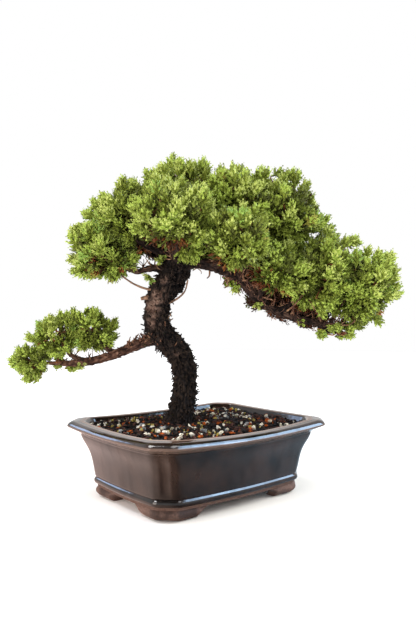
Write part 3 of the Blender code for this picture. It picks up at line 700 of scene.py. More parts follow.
def makeStones():
    # the largest chips, where the solid has them: golden turns from the pot's middle, filled out to its
    # corners. Each is a ball of 20 faces, split once, cut by planes and dented
    index = np.arange(soilShape["stones"]) + 0.5
    way = np.stack([np.cos(index * goldenAngle), np.sin(index * goldenAngle)], axis=1)
    fullness = np.sum(way**4, axis=1) ** -0.25
    places = way * (fullness * np.sqrt(index / len(index)))[:, None] * soilShape["stoneField"]
    places = places[np.linalg.norm(places - soilFoot()[:2], axis=1) > soilShape["stoneRoom"]]
    shape, faces = grainBall()
    middles = unit(shape[faces] + np.roll(shape[faces], -1, axis=1))
    corners = np.concatenate([shape[faces], middles], axis=1)
    split = np.array(((0, 3, 5), (3, 1, 4), (5, 4, 2), (3, 4, 5)))
    ball = np.unique(np.round(corners.reshape(-1, 3), 6), axis=0)
    number = np.linalg.norm(corners[:, :, None] - ball, axis=3).argmin(axis=2)
    faces = number[:, split].reshape(-1, 3)
    draw = random.Random(4)
    parts, kinds = [], []
    for row, place in enumerate(places):
        turn = draw.uniform(0, 2 * math.pi)
        radius = draw.uniform(*soilShape["stoneRadii"])
        narrow = draw.uniform(0.7, 1)
        rise = draw.uniform(*soilShape["stoneRise"])
        cuts = np.random.default_rng(row)
        for third in range(3):
            # three chips lean together within the solid's one
            way = turn + third * 2.1
            size = radius * cuts.uniform(0.42, 0.66)
            dents = chipped(ball, unit(cuts.normal(0, 1, (1, 6, 3))), cuts.uniform(0.4, 0.8, (1, 6)))[0]
            dents = dents * (1 + 0.12 * softNoise(ball * 2.4 + row * 5 + third, 6)[:, None])
            chip = ball * dents * (size * 1.25, size * 1.1 * narrow, min(size, rise) * 1.1)
            cosine, sine = math.cos(way), math.sin(way)
            middle = np.array((*place, 0)) + (cosine * radius * 0.52, sine * radius * 0.52, 0)
            middle[2] = float(soilHeight(middle)) + soilShape["below"] + size * 0.2
            parts.append((turned(chip, cosine, sine) + middle, faces))
            kinds.append(cuts.choice(("cream", "cream", "tan", "brown", "black", "orange", "grey")))
    for key in dict.fromkeys(kinds):
        points, sets = joined([part for part, kind in zip(parts, kinds) if kind == key])
        stones = addPiece(f"stones_{key}", points + potMiddle, sets, [grainMaterial(key)], smooth=False)
        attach(stones, "root")


def makeStrips(draw, places):
    # shreds of bark: short curved ribbons that lie on the grit
    count = soilShape["strips"]
    middle = places[draw.choice(len(places), count, replace=False)] + (0, 0, 0.0025)
    heading = draw.uniform(0, 2 * math.pi, count)
    along = np.stack([np.cos(heading), np.sin(heading), draw.uniform(-0.15, 0.2, count)], axis=-1)
    across = unit(np.cross(along, (0, 0, 1.0)))
    length = draw.uniform(*soilShape["stripLength"], count)
    t = np.linspace(-0.5, 0.5, 5)[None, :, None]
    bend = draw.uniform(-0.3, 0.3, (count, 1, 1)) * across[:, None] - np.array((0, 0, 0.35))
    paths = middle[:, None] + (along[:, None] * t + bend * t * t) * length[:, None, None]
    widths = draw.uniform(*soilShape["stripWidth"], (count, 1)) * (1 - 1.6 * np.abs(t[..., 0]) ** 2)
    sideways, upwards = across[:, None].repeat(5, axis=1), np.cross(unit(along), across)[:, None]
    points, sides, caps = ribbons(paths, sideways, upwards, widths, soilShape["stripThickness"])
    material = grainMaterial("shred")
    strips = addPiece("bark_shreds", points + potMiddle, [sides, caps], [material], smooth=False)
    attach(strips, "root")


def groundMaterial():
    # peat and fine grit, damp: nearly black, crumbly and dull
    material, shader = newMaterial("dampPottingGrit", "#15100e", 0.95, **{"Specular IOR Level": 0.15})
    place = addNode(material, "TexCoord", output="Object")
    crumb = addNode(material, "TexVoronoi", {"Scale": 320}, {"Vector": place})  # 3 mm crumbs
    colour = addNode(material, "ValToRGB", None, {"Fac": crumb}, ((0.1, "#1d1613"), (0.6, "#080606")))
    bump = addNode(material, "Bump", {"Strength": 0.8, "Distance": 0.001}, {"Height": crumb})
    feed(material, shader, Base_Color=colour, Normal=bump)
    return material


# each grain's dark and light tone and its roughness
grainLooks = {
    "black": ("#080707", "#1d1816", 0.7),  # charcoal and lava chips, a little shiny where damp
    "brown": ("#1b1411", "#3d2d25", 0.9),  # baked clay
    "orange": ("#5c2812", "#b0571f", 0.9),  # soft fired clay
    "tan": ("#6b5f34", "#a99a52", 0.92),  # decomposed granite
    "cream": ("#9a937c", "#e9e6dc", 0.95),  # pumice
    "grey": ("#4d5052", "#94979a", 0.9),  # limestone
    "shred": ("#1e120f", "#523128", 0.9),  # torn bark
}


def grainMaterial(key):
    if f"grit_{key}" in bpy.data.materials:
        return bpy.data.materials[f"grit_{key}"]
    dark, light, roughness = grainLooks[key]
    material, shader = newMaterial(f"grit_{key}", light, roughness, **{"Specular IOR Level": 0.15})
    place = addNode(material, "TexCoord", output="Object")
    speck = addNode(material, "TexNoise", {"Scale": 260, "Detail": 3}, {"Vector": place})  # 4 mm, a grain
    colour = addNode(material, "ValToRGB", None, {"Fac": speck}, ((0.36, dark), (0.62, light)))
    bump = addNode(material, "Bump", {"Strength": 0.5, "Distance": 0.0006}, {"Height": speck})
    feed(material, shader, Base_Color=colour, Normal=bump)
    return material


# The tree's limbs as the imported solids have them: rows of (u, v, z, diameter) in millimetres

trunkRows = (
    (-22, 0, 85.3, 33), (-20, 0, 93, 29), (-16.5, 0, 118, 26.4), (-15.5, 0, 145, 25.6), (-22, -1, 164, 26),
    (-35, -2, 180, 27.6), (-46, -2, 194, 29), (-49.5, -1, 212, 27), (-44.5, 0, 236, 28.4),
    (-31, 1, 258, 31.5), (-24, 1, 276, 31), (-18, 0, 294, 22), (-13, 0, 309, 13),
)
boughRows = {
    "low_left": (
        (-40, -2, 189, 17), (-60, -3, 181.5, 12.5), (-80, -4, 173.5, 11), (-104, -4, 163.8, 10.2),
        (-128, -4, 157.6, 9.2), (-150, -4, 155, 7.4), (-166, -4, 155, 5),
    ),
    "low_left_inner": ((-98, -4, 165.6, 6.5), (-104, -3, 169.5, 6), (-111, -2, 174, 4.5)),
    "low_left_middle": ((-136, -4, 156.8, 6), (-147, -4, 162, 5.4), (-156, -4, 169, 4.6)),
    "left": ((-36, 0, 266, 11), (-52, -3, 269.5, 8.5), (-64, -6, 267, 7.5), (-78, -9, 266, 5.5)),
    "left_top": ((-22, 0, 281, 13), (-38, -7, 287, 11), (-56, -13, 294, 9), (-73, -15, 305, 6)),
    "left_back": ((-27, 4, 272, 12), (-43, 20, 281, 9.5), (-58, 38, 289, 8), (-68, 49, 297, 6)),
    "front": ((-24, -2, 272, 11), (-26, -18, 278, 9), (-24, -34, 288, 7), (-22, -45, 299, 5.5)),
    "back": ((-20, 2, 284, 12), (-16, 19, 291, 10), (-11, 34, 298, 8), (-8, 46, 305, 6)),
    "right": (
        (-22, 0, 272, 17), (0, -6, 276, 13.5), (28, -11, 267.5, 12), (52, -12, 254.5, 12),
        (67, -11, 238, 11.6), (83, -9, 224, 10.8), (108, -7, 212.5, 10), (140, -5, 204, 8.8),
        (160, -4, 200.5, 7.4), (176, -3, 206, 5.5),
    ),
    "right_top": ((-17, -2, 291, 12), (3, -9, 300, 9.5), (22, -12, 310, 7.5), (37, -12, 321, 5.5)),
    "right_front": ((12, -8, 273.5, 8), (23, -24, 274, 7), (34, -42, 273, 5.8), (40, -52, 277, 4.6)),
    "right_middle": ((46, -12, 258, 8.5), (60, -4, 270, 8), (80, 0, 285, 7), (97, -3, 300, 5.5)),
    "right_back": ((30, -11, 267, 9), (37, 8, 273, 8), (47, 28, 282, 7), (56, 42, 292, 5.6)),
    "right_low": ((72, -11, 232.5, 7.6), (75, -16, 240, 6.6), (80, -22, 248, 5.4)),
    "tail_inner": ((98, -8, 216, 7.6), (106, -9, 223, 7), (116, -10, 231, 6)),
    "tail_back": ((104, -7, 213.6, 8), (110, 8, 221, 7), (121, 25, 230, 6), (129, 36, 238, 5)),
    "tail_under": ((146, -5, 202, 5.5), (150, -6, 196, 4.6), (156, -7, 193, 4)),
}
twigRows = {
    "twig_left_long": ((-46, -2, 244, 3), (-60, -5, 244, 2.6), (-76, -7, 250, 2.2), (-91, -9, 260, 1.8)),
    "twig_left_short": ((-42, -6, 247, 2.6), (-54, -9, 253, 2.2), (-62, -10, 262, 1.8)),
    "twig_right": ((-42, -3, 225, 3), (-26, -6, 231.5, 2.4), (-15.5, -8, 241, 2.1), (-11.5, -8, 255, 1.8)),
    "snag_left": ((-44, -4, 231, 9), (-60, -6, 233.5, 6), (-68, -7, 232.5, 4.4)),
}

# each mass of foliage: the limb that bears it, its centre and its half sizes, in millimetres
massRows = {
    "low_left_inner": ("low_left_inner", (-125, -2, 191), (37, 42, 33)),
    "low_left_middle": ("low_left_middle", (-167, -4, 188), (36, 42, 34)),
    "low_left_outer": ("low_left", (-198, -5, 156), (33, 38, 29)),
    "left_low": ("left", (-111, -12, 288), (53, 62, 41)),
    "left_top": ("left_top", (-73, -14, 329), (55, 64, 53)),
    "left_back": ("left_back", (-95, 62, 318), (57, 56, 54)),
    "top": ("trunk", (-17, 0, 351), (56, 60, 55)),
    "front": ("front", (-25, -68, 317), (56, 54, 53)),
    "back": ("back", (-6, 72, 320), (58, 54, 56)),
    "right_top": ("right_top", (48, -12, 346), (56, 60, 54)),
    "right_front": ("right_front", (44, -68, 291), (44, 52, 54)),
    "right_middle": ("right_middle", (105, -5, 331), (54, 60, 57)),
    "right_back": ("right_back", (70, 66, 314), (60, 56, 56)),
    "right_low": ("right_low", (92, -30, 265), (40, 50, 45)),
    "tail_inner": ("tail_inner", (144, -12, 263), (50, 60, 60)),
    "tail_back": ("tail_back", (142, 58, 259), (56, 52, 52)),
    "tail_tip": ("right", (194, -3, 247), (53, 59, 58)),
    "tail_under": ("tail_under", (172, -8, 192), (24, 24, 15)),
}


def smoothPath(rows, step):
    # a limb's rows of millimetres as a smooth path in metres
    return smoothCurve(np.array(rows, float) * mm, step)


def limbPath(name, step):
    # a limb that bears a mass goes on to that mass's middle, and thins
    rows = trunkRows if name == "trunk" else {**boughRows, **twigRows}[name]
    for bearer, centre, _ in massRows.values():
        if bearer == name:
            rows = (*rows, (*centre, rows[-1][3] * 0.45))
    return smoothPath(rows, step)


def framesAlong(path):
    # unit tangents and two directions square to each, from the axis that the path keeps furthest from
    tangents = unit(np.gradient(path, axis=0))
    axes = np.eye(3)
    reference = axes[np.argmin(np.abs(tangents @ axes).max(axis=0))]
    across = unit(reference - tangents * (tangents @ reference)[:, None])
    return tangents, across, np.cross(tangents, across)


barkShape = {
    "trunkStep": 0.0009,
    "boughStep": 0.0011,
    "ridge": 0.0030,  # between fissures
    "crust": 0.0011,  # how far the crumbly outer bark stands out
    "crumb": 0.0027,
    "stretch": 2.6,  # how much longer than wide the plates are
    "depth": 0.10,  # of the relief, as a share of the limb's radius
    "lump": 0.10,
    "collar": 0.45,  # how much a bough swells where it leaves
    "collarLength": 0.010,
    "trunkFlakes": 1700,
    "boughFlakes": 520,  # on a bough of 1500 steps
    "flakedBelow": 0.300,  # the part of the trunk that has flakes
    "seed": 21,
}

# the flakes' lengths and widths in mm, how far they curl off, and their thickness
flakeShapes = {
    "trunk": ((3.0, 6.8), (2.2, 4.8), 1.05, 0.0015),
    "bough": ((2.5, 8.0), (0.8, 2.2), 0.5, 0.001),
}


def barkRelief(path, angle, radius, seed):
    # plates between fissures that run along the limb: the size of a noise drawn out along it, in two sizes
    along = lengthAlong(path[:, :3])[:, None]
    twist = angle[None] + along * 9
    ridge = barkShape["ridge"]
    drawnOut = along / (ridge * barkShape["stretch"]) + 0 * twist
    place = np.stack([np.cos(twist) * radius / ridge, np.sin(twist) * radius / ridge, drawnOut], axis=-1)
    plates = np.minimum(1, 2.6 * np.abs(softNoise(place, seed)))
    fibres = np.minimum(1, 2.2 * np.abs(softNoise(place * (2.3, 2.3, 1.6), seed + 1)))
    lumps = softNoise(place * (0.24, 0.24, 0.5), seed + 2)
    crumbs = softNoise(place * (1, 1, barkShape["stretch"]) * ridge / barkShape["crumb"], seed + 3)
    return plates * 0.65 + fibres * 0.35, lumps, np.clip(2.4 * crumbs, -0.5, 1)


def trunkRidges(path, angle):
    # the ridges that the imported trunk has: the sum of a threefold and a fivefold wave that turn along the
    # path. Its rows lie 8 mm apart, and its angle starts at the left of the tree
    coarse = smoothPath(trunkRows, 0.008)
    level = np.interp(path[:, 2], coarse[:, 2], np.arange(len(coarse)))[:, None]
    bearing = angle[None] - math.pi / 2
    return 1 + 0.07 * (np.cos(3 * bearing + level * 0.35) + 0.7 * np.cos(5 * bearing - level * 0.2))


def limbSurface(path, step, seed, collar=0.0, depth=None, ridges=False):
    # a tube round the path whose radius carries the bark's relief. It gives points, faces and the relief
    tangents, across, other = framesAlong(path[:, :3])
    radius = path[:, 3:] / 2
    columns = max(10, round(2 * math.pi * radius.max() / step))
    angle = np.arange(columns) * 2 * math.pi / columns
    plates, lumps, crumbs = barkRelief(path, angle, radius, seed)
    length = lengthAlong(path[:, :3])[:, None]
    swell = 1 + collar * np.exp(-((length / barkShape["collarLength"]) ** 2))
    depth = barkShape["depth"] if depth is None else depth
    grown = radius * swell * (1 + depth * 2 * (plates - 0.6) + barkShape["lump"] * lumps)
    if ridges:
        grown = grown * trunkRidges(path, angle)
    grown = grown + barkShape["crust"] * crumbs * np.clip(radius / 0.012, 0.1, 1)
    ring = between(across[:, None], other[:, None], angle[None, :, None])
    points = path[:, None, :3] + grown[..., None] * ring
    # how deep each point lies in the relief, which the bark's colour turns into painted shade
    relief = np.clip(plates * 0.75 + 0.25 * crumbs, 0, 1)
    return points, gridFaces(len(path), columns), endCaps(len(path), columns), relief


def flakesOn(path, count, draw, lengthMm, widthMm, lift, thickness):
    # strips of bark that peel away: each starts in the surface, runs along the limb and curls off it
    tangents, across, other = framesAlong(path[:, :3])
    row = draw.integers(2, len(path) - 2, count)
    angle = draw.uniform(0, 2 * math.pi, count)[:, None]
    outwards = between(across[row], other[row], angle)
    sideways = np.cross(tangents[row], outwards)
    sense = np.where(draw.random(count) < 0.62, -1.0, 1.0)[:, None]
    heading = unit(tangents[row] * sense + sideways * draw.uniform(-0.45, 0.45, (count, 1)))
    length = draw.uniform(*lengthMm, (count, 1, 1)) * mm
    t = np.linspace(0, 1, 6)[None, :, None]
    start = path[row, :3] + outwards * path[row, 3:] * 0.5 * 0.97
    away = draw.uniform(0.1, 1, (count, 1, 1)) ** 1.5 * lift
    paths = start[:, None] + heading[:, None] * length * t + outwards[:, None] * length * away * t * t
    paths = paths + sideways[:, None] * length * draw.uniform(-0.25, 0.25, (count, 1, 1)) * t * t
    widths = draw.uniform(*widthMm, (count, 1)) * mm * (1 - 0.5 * t[..., 0] ** 2)
    tangent = unit(np.gradient(paths, axis=1))
    flat = unit(np.cross(tangent, outwards[:, None]))
    return ribbons(paths, flat, np.cross(flat, tangent), widths, thickness)


# where the trunk's outer bark has come away: places and sizes in mm
wornPlaces = (
    ((-46, -14, 236), 10), ((-40, -16, 255), 5), ((-54, -12, 221), 10), ((-51, -13, 205), 8),
    ((-24, -13, 168), 4),
)


def barkAttributes(points, relief, young):
    # how much lighter the bark is: young on some boughs, and worn in a few places on the trunk
    worn = np.zeros(len(points))
    for centre, size in wornPlaces:
        worn += np.exp(-((((points / mm - centre) / size) ** 2).sum(axis=1) ** 2))
    worn *= np.clip(0.7 + 1.6 * softNoise(points / 0.004, 17), 0, 1)
    return {"relief": relief, "young": np.clip(young, 0, 1), "worn": np.clip(worn, 0, 1)}


def makeTrunk():
    # the bark from below the soil's surface up to the middle of the top mass, with its flakes
    draw = np.random.default_rng(barkShape["seed"])
    rows = ((-23.5, 0, 79, 37), *trunkRows)
    path = smoothPath((*rows, (*massRows["top"][1], 5)), barkShape["trunkStep"])
    *tube, relief = limbSurface(path, barkShape["trunkStep"], barkShape["seed"], ridges=True)
    flaked = path[path[:, 2] < barkShape["flakedBelow"]]
    flakes = flakesOn(flaked, barkShape["trunkFlakes"], draw, *flakeShapes["trunk"])
    points, sets = joined([tube, flakes])
    # a flake has six rows of four points, and is painted lighter towards its tip, where it stands out of
    # the shade
    flakeRelief = np.tile(np.linspace(0.3, 1, 6).repeat(4), len(flakes[0]) // 24)
    relief = np.concatenate([relief.ravel(), flakeRelief])
    attributes = barkAttributes(points, relief, np.zeros(len(points)))
    trunk = addPiece("trunk_bark", treeToWorld(points), sets, [barkMaterial()], attributes=attributes)
    trunk.data.set_sharp_from_angle(angle=math.radians(55))
    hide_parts("trunk")
    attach(trunk, "root")


# how young each bough's bark is, where it isn't as old as the trunk's
youngBark = {"low_left": 0.85, "low_left_inner": 0.8, "low_left_middle": 0.6, "left": 0.35, "right": 0.22}


def makeBoughs():
    # all boughs as one piece, each with a collar at its foot and flakes on its first three quarters
    draw = np.random.default_rng(barkShape["seed"] + 1)
    parts, reliefs, young = [], [], []
    for index, name in enumerate(boughRows):
        path = limbPath(name, barkShape["boughStep"])
        *tube, relief = limbSurface(path, barkShape["boughStep"], 40 + 3 * index, barkShape["collar"])
        share = round(barkShape["boughFlakes"] * len(path) / 1500)
        flakes = flakesOn(path[: len(path) * 3 // 4], share, draw, *flakeShapes["bough"])
        parts += [tube, flakes]
        reliefs += [relief.ravel(), np.full(len(flakes[0]), 0.8)]
        # old and dark where it leaves the trunk, younger further out
        grown = np.clip(np.linspace(-0.05, 3.2, len(path)), 0.15, 1)[:, None]
        young.append(youngBark.get(name, 0.15) * (grown + 0 * relief).ravel())
        young.append(np.full(len(flakes[0]), youngBark.get(name, 0.15) * 0.7))
    points, sets = joined(parts)
    attributes = barkAttributes(points, np.concatenate(reliefs), np.concatenate(young))
    boughs = addPiece("boughs_bark", treeToWorld(points), sets, [barkMaterial()], attributes=attributes)
    boughs.data.set_sharp_from_angle(angle=math.radians(60))
    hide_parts(*(f"bough_{name}" for name in boughRows))
    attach(boughs, "root")


def makeBareTwigs():
    # the twigs that the solids have, with a finer and shallower bark
    parts, reliefs = [], []
    for index, name in enumerate(twigRows):
        path = limbPath(name, 0.0014)
        *tube, relief = limbSurface(path, 0.0009, 90 + 3 * index, 0.35, depth=0.07)
        parts.append(tube)
        reliefs.append(relief.ravel())
    points, sets = joined(parts)
    attributes = {"relief": np.concatenate(reliefs)}
    twigs = addPiece("twigs_bare", treeToWorld(points), sets, [twigMaterial()], attributes=attributes)
    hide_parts(*twigRows)
    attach(twigs, "root")


def barkMaterial():
    # weathered juniper bark: fibrous plates, red-brown where young or rubbed, and nearly black down in its
    # fissures, partly as painted shade
    if "juniperBark" in bpy.data.materials:
        return bpy.data.materials["juniperBark"]
    material, shader = newMaterial("juniperBark", "#2b2220", 0.9, **{"Specular IOR Level": 0.25})
    place = addNode(material, "TexCoord", output="Object")
    relief = addNode(material, "Attribute", output="Fac", attribute_name="relief")
    young = addNode(material, "Attribute", output="Fac", attribute_name="young")
    patch = addNode(material, "TexNoise", {"Scale": 85, "Detail": 4}, {"Vector": place})  # 12 mm patches
    fibre = addNode(material, "TexNoise", {"Scale": 620, "Detail": 2}, {"Vector": place})  # 1.6 mm fibres
    worn = addNode(material, "Attribute", output="Fac", attribute_name="worn")
    # the colours of old, young and worn bark, from its fissures, painted dark as shade, up to the tops of
    # its plates
    old, fresh, bared = (
        addNode(material, "ValToRGB", None, {"Fac": relief}, stops)
        for stops in (
            ((0.1, "#060404"), (0.55, "#16100f"), (1.0, "#332820")),
            ((0.1, "#2c1912"), (0.55, "#6a4939"), (1.0, "#967361")),
            ((0.1, "#443028"), (0.6, "#765e52"), (1.0, "#927a6c")),
        )
    )
    aged = addNode(material, "Mix", None, {"Factor": young, 6: old, 7: fresh}, **colourMix)
    mixed = addNode(material, "Mix", None, {"Factor": worn, 6: aged, 7: bared}, **colourMix)
    tone = addNode(material, "ValToRGB", None, {"Fac": patch}, ((0.35, "#a89c98"), (0.65, "#ffffff")))
    toned = addNode(
        material, "Mix", {"Factor": 1.0}, {6: mixed, 7: tone}, **colourMix, blend_type="MULTIPLY"
    )
    bump = addNode(material, "Bump", {"Strength": 0.5, "Distance": 0.0005}, {"Height": fibre})
    feed(material, shader, Base_Color=toned, Normal=bump)
    return material


def twigMaterial():
    # thin bark of bare twigs: smooth, dry and grey-brown, painted darker in the hollows of its relief as
    # shade
    material, shader = newMaterial("bareTwigBark", "#7a5a45", 0.8)
    relief = addNode(material, "Attribute", output="Fac", attribute_name="relief")
    colour = addNode(material, "ValToRGB", None, {"Fac": relief}, ((0.1, "#4a3428"), (0.8, "#8c6a52")))
    feed(material, shader, Base_Color=colour)
    return material


# Foliage. Each mass sends even directions from its middle out to its reach, as its solid does. Here the
# directions are closer, the twigs finer, and each ends in a plume of needled shoots. Plumes gather into
# rounded sprays.

leafShape = {
    "fullness": 2.6,  # the power that fills a mass out towards its corners
    "cellMargin": 0.0005,
    "sprayPitch": 0.036,  # between the middles of sprays
    "plumePitch": 0.0138,
    "openPitch": 0.0122,  # on the low pads
    "dome": 0.24,  # how much lower a spray's edge lies than its middle
    "reach": (0.86, 0.98),
    "tipRoom": 0.0045,  # how far the outermost needles stand out past a tip
    "least": 0.5,  # a plume cut shorter than this share by its neighbours is left out
    "lift": 1.15,
    "padLift": 0.45,
    "liftFrom": -0.6,  # plumes turn up from this share of the way down from their mass's middle
    "jag": 0.10,  # how unevenly plumes stand out
    "wander": 0.12,  # how unevenly sprays are placed and plumes turned
    "headingShares": (0.45, 0.5, 0.35),  # of the ways out of the spray, of the mass and of the whole crown
    # plumes low on their mass get darker colours: painted shade, with a few dead needles
    "underFrom": -0.55,  # plumes lower on their mass than this have the colours of its underside
    # plumes at a spray's edge are painted dark, as the shade in the gaps between sprays
    "edgeFrom": 0.84,  # the share of the way out of a spray from which its plumes are dark
    "plumeLength": 0.0190,
    "shoots": 12,
    "shootLength": (0.0077, 0.0110),
    "tilt": (0.36, 1.24),
    "needles": 6,
    "needleLength": 0.0029,
    "needleWidth": 0.0018,
    "stemRadius": 0.0016,
    "plainShoots": 0.3,  # the share of shoots whose tips are as dark as their feet
    "limbMargin": 0.0022,
    "innerPitch": 0.018,
    "innerReach": (0.40, 0.68),
    "seed": 300,
}

# tufts inside the masses, dead ones in the shade and small sprigs: how many shoots, their least and
# greatest length, the angles between which they spread, and each shoot's needles: how many, their length
# and width, and the radius of the stem
tufts = {
    "inner": (6, (0.016, 0.026), (0.3, 1.3), (7, 0.0085, 0.0036, 0.0017)),
    "dead": (7, (0.008, 0.016), (0.3, 1.4), (8, 0.0060, 0.0021, 0.0010)),
    "sprig": (6, (0.005, 0.010), (0.2, 1.2), (16, 0.0038, 0.0016, 0.0009)),
}

# the twigs that carry the plumes: some main ones from each mass's middle, and a fine one to each plume
fineTwigs = {
    "mains": 14,
    "mainRadii": (0.0020, 0.0012),  # in closed and in open masses
    "mainSag": 0.16,
    "mainWander": 0.0012,
    "stepIn": 0.006,  # how much nearer the middle than its plume a fine twig starts
    "radius": 0.0009,
    "sag": 0.14,
}

needleColours = {
    "needlesLime": "#adb962",
    "needlesFresh": "#9aad4b",
    "needlesMiddle": "#808d39",
    "needlesDeep": "#657027",
    "needlesMint": "#86a24a",
    "needlesOlive": "#938f41",
    "needlesShade": "#505624",
    "needlesDead": "#8f592e",
    "needlesRust": "#6b3a20",
    "needlesHusk": "#3b2417",
}

# the colours that a plume may have: of its older needles and of its tips, and how often
plumeTones = (
    ("needlesMiddle", "needlesLime", 0.30),
    ("needlesMiddle", "needlesFresh", 0.32),
    ("needlesDeep", "needlesFresh", 0.20),
    ("needlesDeep", "needlesMiddle", 0.08),
    ("needlesMiddle", "needlesMint", 0.05),
    ("needlesOlive", "needlesFresh", 0.05),
)
# painted light: lighter, fresher-looking colours where the crown is lit more: to the left and out to the
# right
paintedLightTones = (
    ("needlesMiddle", "needlesLime", 0.32),
    ("needlesFresh", "needlesLime", 0.10),
    ("needlesMiddle", "needlesFresh", 0.32),
    ("needlesDeep", "needlesFresh", 0.16),
    ("needlesMiddle", "needlesMint", 0.10),
)
paintedLightSides = (0.000, 0.110)
padTones = (
    ("needlesMiddle", "needlesLime", 0.22),
    ("needlesMiddle", "needlesFresh", 0.40),
    ("needlesDeep", "needlesFresh", 0.24),
    ("needlesDeep", "needlesMiddle", 0.11),
    ("needlesMiddle", "needlesMint", 0.03),
)
# painted shade: the darker colours of the plumes at a spray's edge, between the sprays
edgeShadeTones = (
    ("needlesShade", "needlesDeep", 0.4),
    ("needlesDeep", "needlesMiddle", 0.4),
    ("needlesShade", "needlesMiddle", 0.2),
)
# the underside's colours: darker, as painted shade, with a few dead needles
underShadeAndDeadTones = (
    ("needlesMiddle", "needlesFresh", 0.3),
    ("needlesDeep", "needlesFresh", 0.3),
    ("needlesDeep", "needlesMiddle", 0.34),
    ("needlesDead", "needlesOlive", 0.06),
)
# painted shade: the dark colours of the tufts inside the masses
innerShadeTones = (
    ("needlesShade", "needlesShade", 0.65),
    ("needlesShade", "needlesDeep", 0.31),
    ("needlesHusk", "needlesShade", 0.04),
)
deadTones = (
    ("needlesHusk", "needlesHusk", 0.34),
    ("needlesHusk", "needlesRust", 0.40),
    ("needlesRust", "needlesDead", 0.16),
    ("needlesShade", "needlesDeep", 0.10),
)

# pads that the photo shows as open sprays with sky between them, and the share of their plumes that grows
openMasses = {"low_left_inner": 0.50, "low_left_middle": 0.50, "low_left_outer": 0.50, "tail_under": 0.42}
plumeScale = {"low_left_inner": 0.85, "low_left_middle": 0.85, "low_left_outer": 0.85, "tail_under": 0.60}

# windows in the photo's view, where it shows dead twigs or sky instead of plumes: the middle and half sizes
# across and up in mm, and how far back each window goes
windows = (
    ((-46, 299), (38, 16), 32), ((-55, 284), (19, 14), 200), ((-149, 285), (13, 4), 80),
    ((-55, 258), (25, 13), 200), ((-160, 145), (34, 10), 200), ((-93, 182), (10, 14), 200),
    ((240, 221), (17, 16), 200), ((144, 362), (8, 15), 200),
)
# where sprays stand out past the rounded masses in the photo's view: places across and up in mm
outliers = (
    (-150, 321), (-137, 338), (-130, 353), (-67, 389), (-52, 392), (-26, 404), (-9, 400), (49, 398),
    (110, 388), (121, 391), (158, 331), (165, 322), (175, 305), (198, 306), (242, 288), (245, 269),
    (247, 245), (192, 198), (205, 201), (187, 186), (159, 189), (42, 247), (-203, 190), (-226, 159),
    (-208, 138), (-176, 153), (-140, 149), (-118, 220), (-190, 203), (-151, 221),
)
skyHole = ((-55, 284), (23, 17))
# where the photo looks from, against the tree: the middle of its view and its distance
photoView = {"middle": (0.013, 0.2114), "distance": 0.742}
# thickets of dead needles in the shade: the middle and half sizes in mm, and how many tufts
thickets = (
    ((-44, 18, 309), (34, 14, 5), 46), ((62, 12, 270), (12, 12, 9), 34), ((82, 14, 246), (18, 16, 15), 56),
    ((112, 14, 230), (20, 16, 12), 46), ((140, 12, 219), (18, 14, 9), 34),
)
# how far plumes keep above the right bough's middle, at places across, in mm
clearance = (
    (4, 10), (22, 25), (32, 20), (42, 14), (52, 28), (66, 38), (84, 36), (110, 28), (135, 17), (154, 2),
)
crownMiddle = np.array((25, 0, 290)) * mm
padMiddle = np.array((-160, -4, 165)) * mm


def needleMaterials():
    # juniper needles, waxy and firm: a soft shine, greyer where old
    shine = {"Specular IOR Level": 0.25}
    return [
        bpy.data.materials.get(name) or newMaterial(name, colour, 0.55, ior=1.45, **shine)[0]
        for name, colour in needleColours.items()
    ]


def evenDirections(count):
    # a golden spiral over the sphere
    index = np.arange(count) + 0.5
    z = 1 - 2 * index / count
    flat = np.sqrt(1 - z * z)
    return np.stack([flat * np.cos(index * goldenAngle), flat * np.sin(index * goldenAngle), z], axis=1)


def massReach(directions, half):
    # how far a mass reaches each way: the power sum of a filled-out ellipsoid
    power = leafShape["fullness"]
    return np.sum(np.abs(directions / half) ** power, axis=-1) ** (-1 / power)


def cellReach(name, directions):
    # how far each direction goes before it meets the plane that parts this mass from another
    centre, half = (np.array(row, float) * mm for row in massRows[name][1:])
    found = np.full(len(directions), np.inf)
    for other, (_, place, size) in massRows.items():
        if other == name:
            continue
        towards = np.array(place) * mm - centre
        length = np.linalg.norm(towards)
        normal = towards / length
        own, theirs = np.linalg.norm(half * normal), np.linalg.norm(np.array(size) * mm * normal)
        distance = length * own / (own + theirs) - leafShape["cellMargin"]
        facing = directions @ normal
        found = np.minimum(found, np.where(facing > 1e-6, distance / np.maximum(facing, 1e-6), np.inf))
    return found


def seenFlat(points):
    # where the photo sees each point against the tree's own plane: spread from its middle by d / (d + v)
    middle = np.array(photoView["middle"])
    nearer = photoView["distance"] / (photoView["distance"] + points[:, 1:2])
    return middle + (points[:, (0, 2)] - middle) * nearer


def inSkyHole(points):
    # whether the photo sees each point within the sky hole's ellipse
    middle, half = skyHole
    return (((seenFlat(points) / mm - middle) / half) ** 2).sum(axis=1) < 1


def nearLimb(points, limbs, margin):
    # whether each point lies within margin of a limb's surface
    found = np.zeros(len(points), bool)
    for start in range(0, len(points), 2000):
        block = points[start : start + 2000]
        apart = np.linalg.norm(block[:, None] - limbs[None, :, :3], axis=2) - limbs[None, :, 3] / 2
        found[start : start + 2000] = apart.min(axis=1) < margin
    return found


def middleBehind(name):
    # the place that a mass's shoots grow away from
    return padMiddle if name in openMasses and name != "tail_under" else crownMiddle


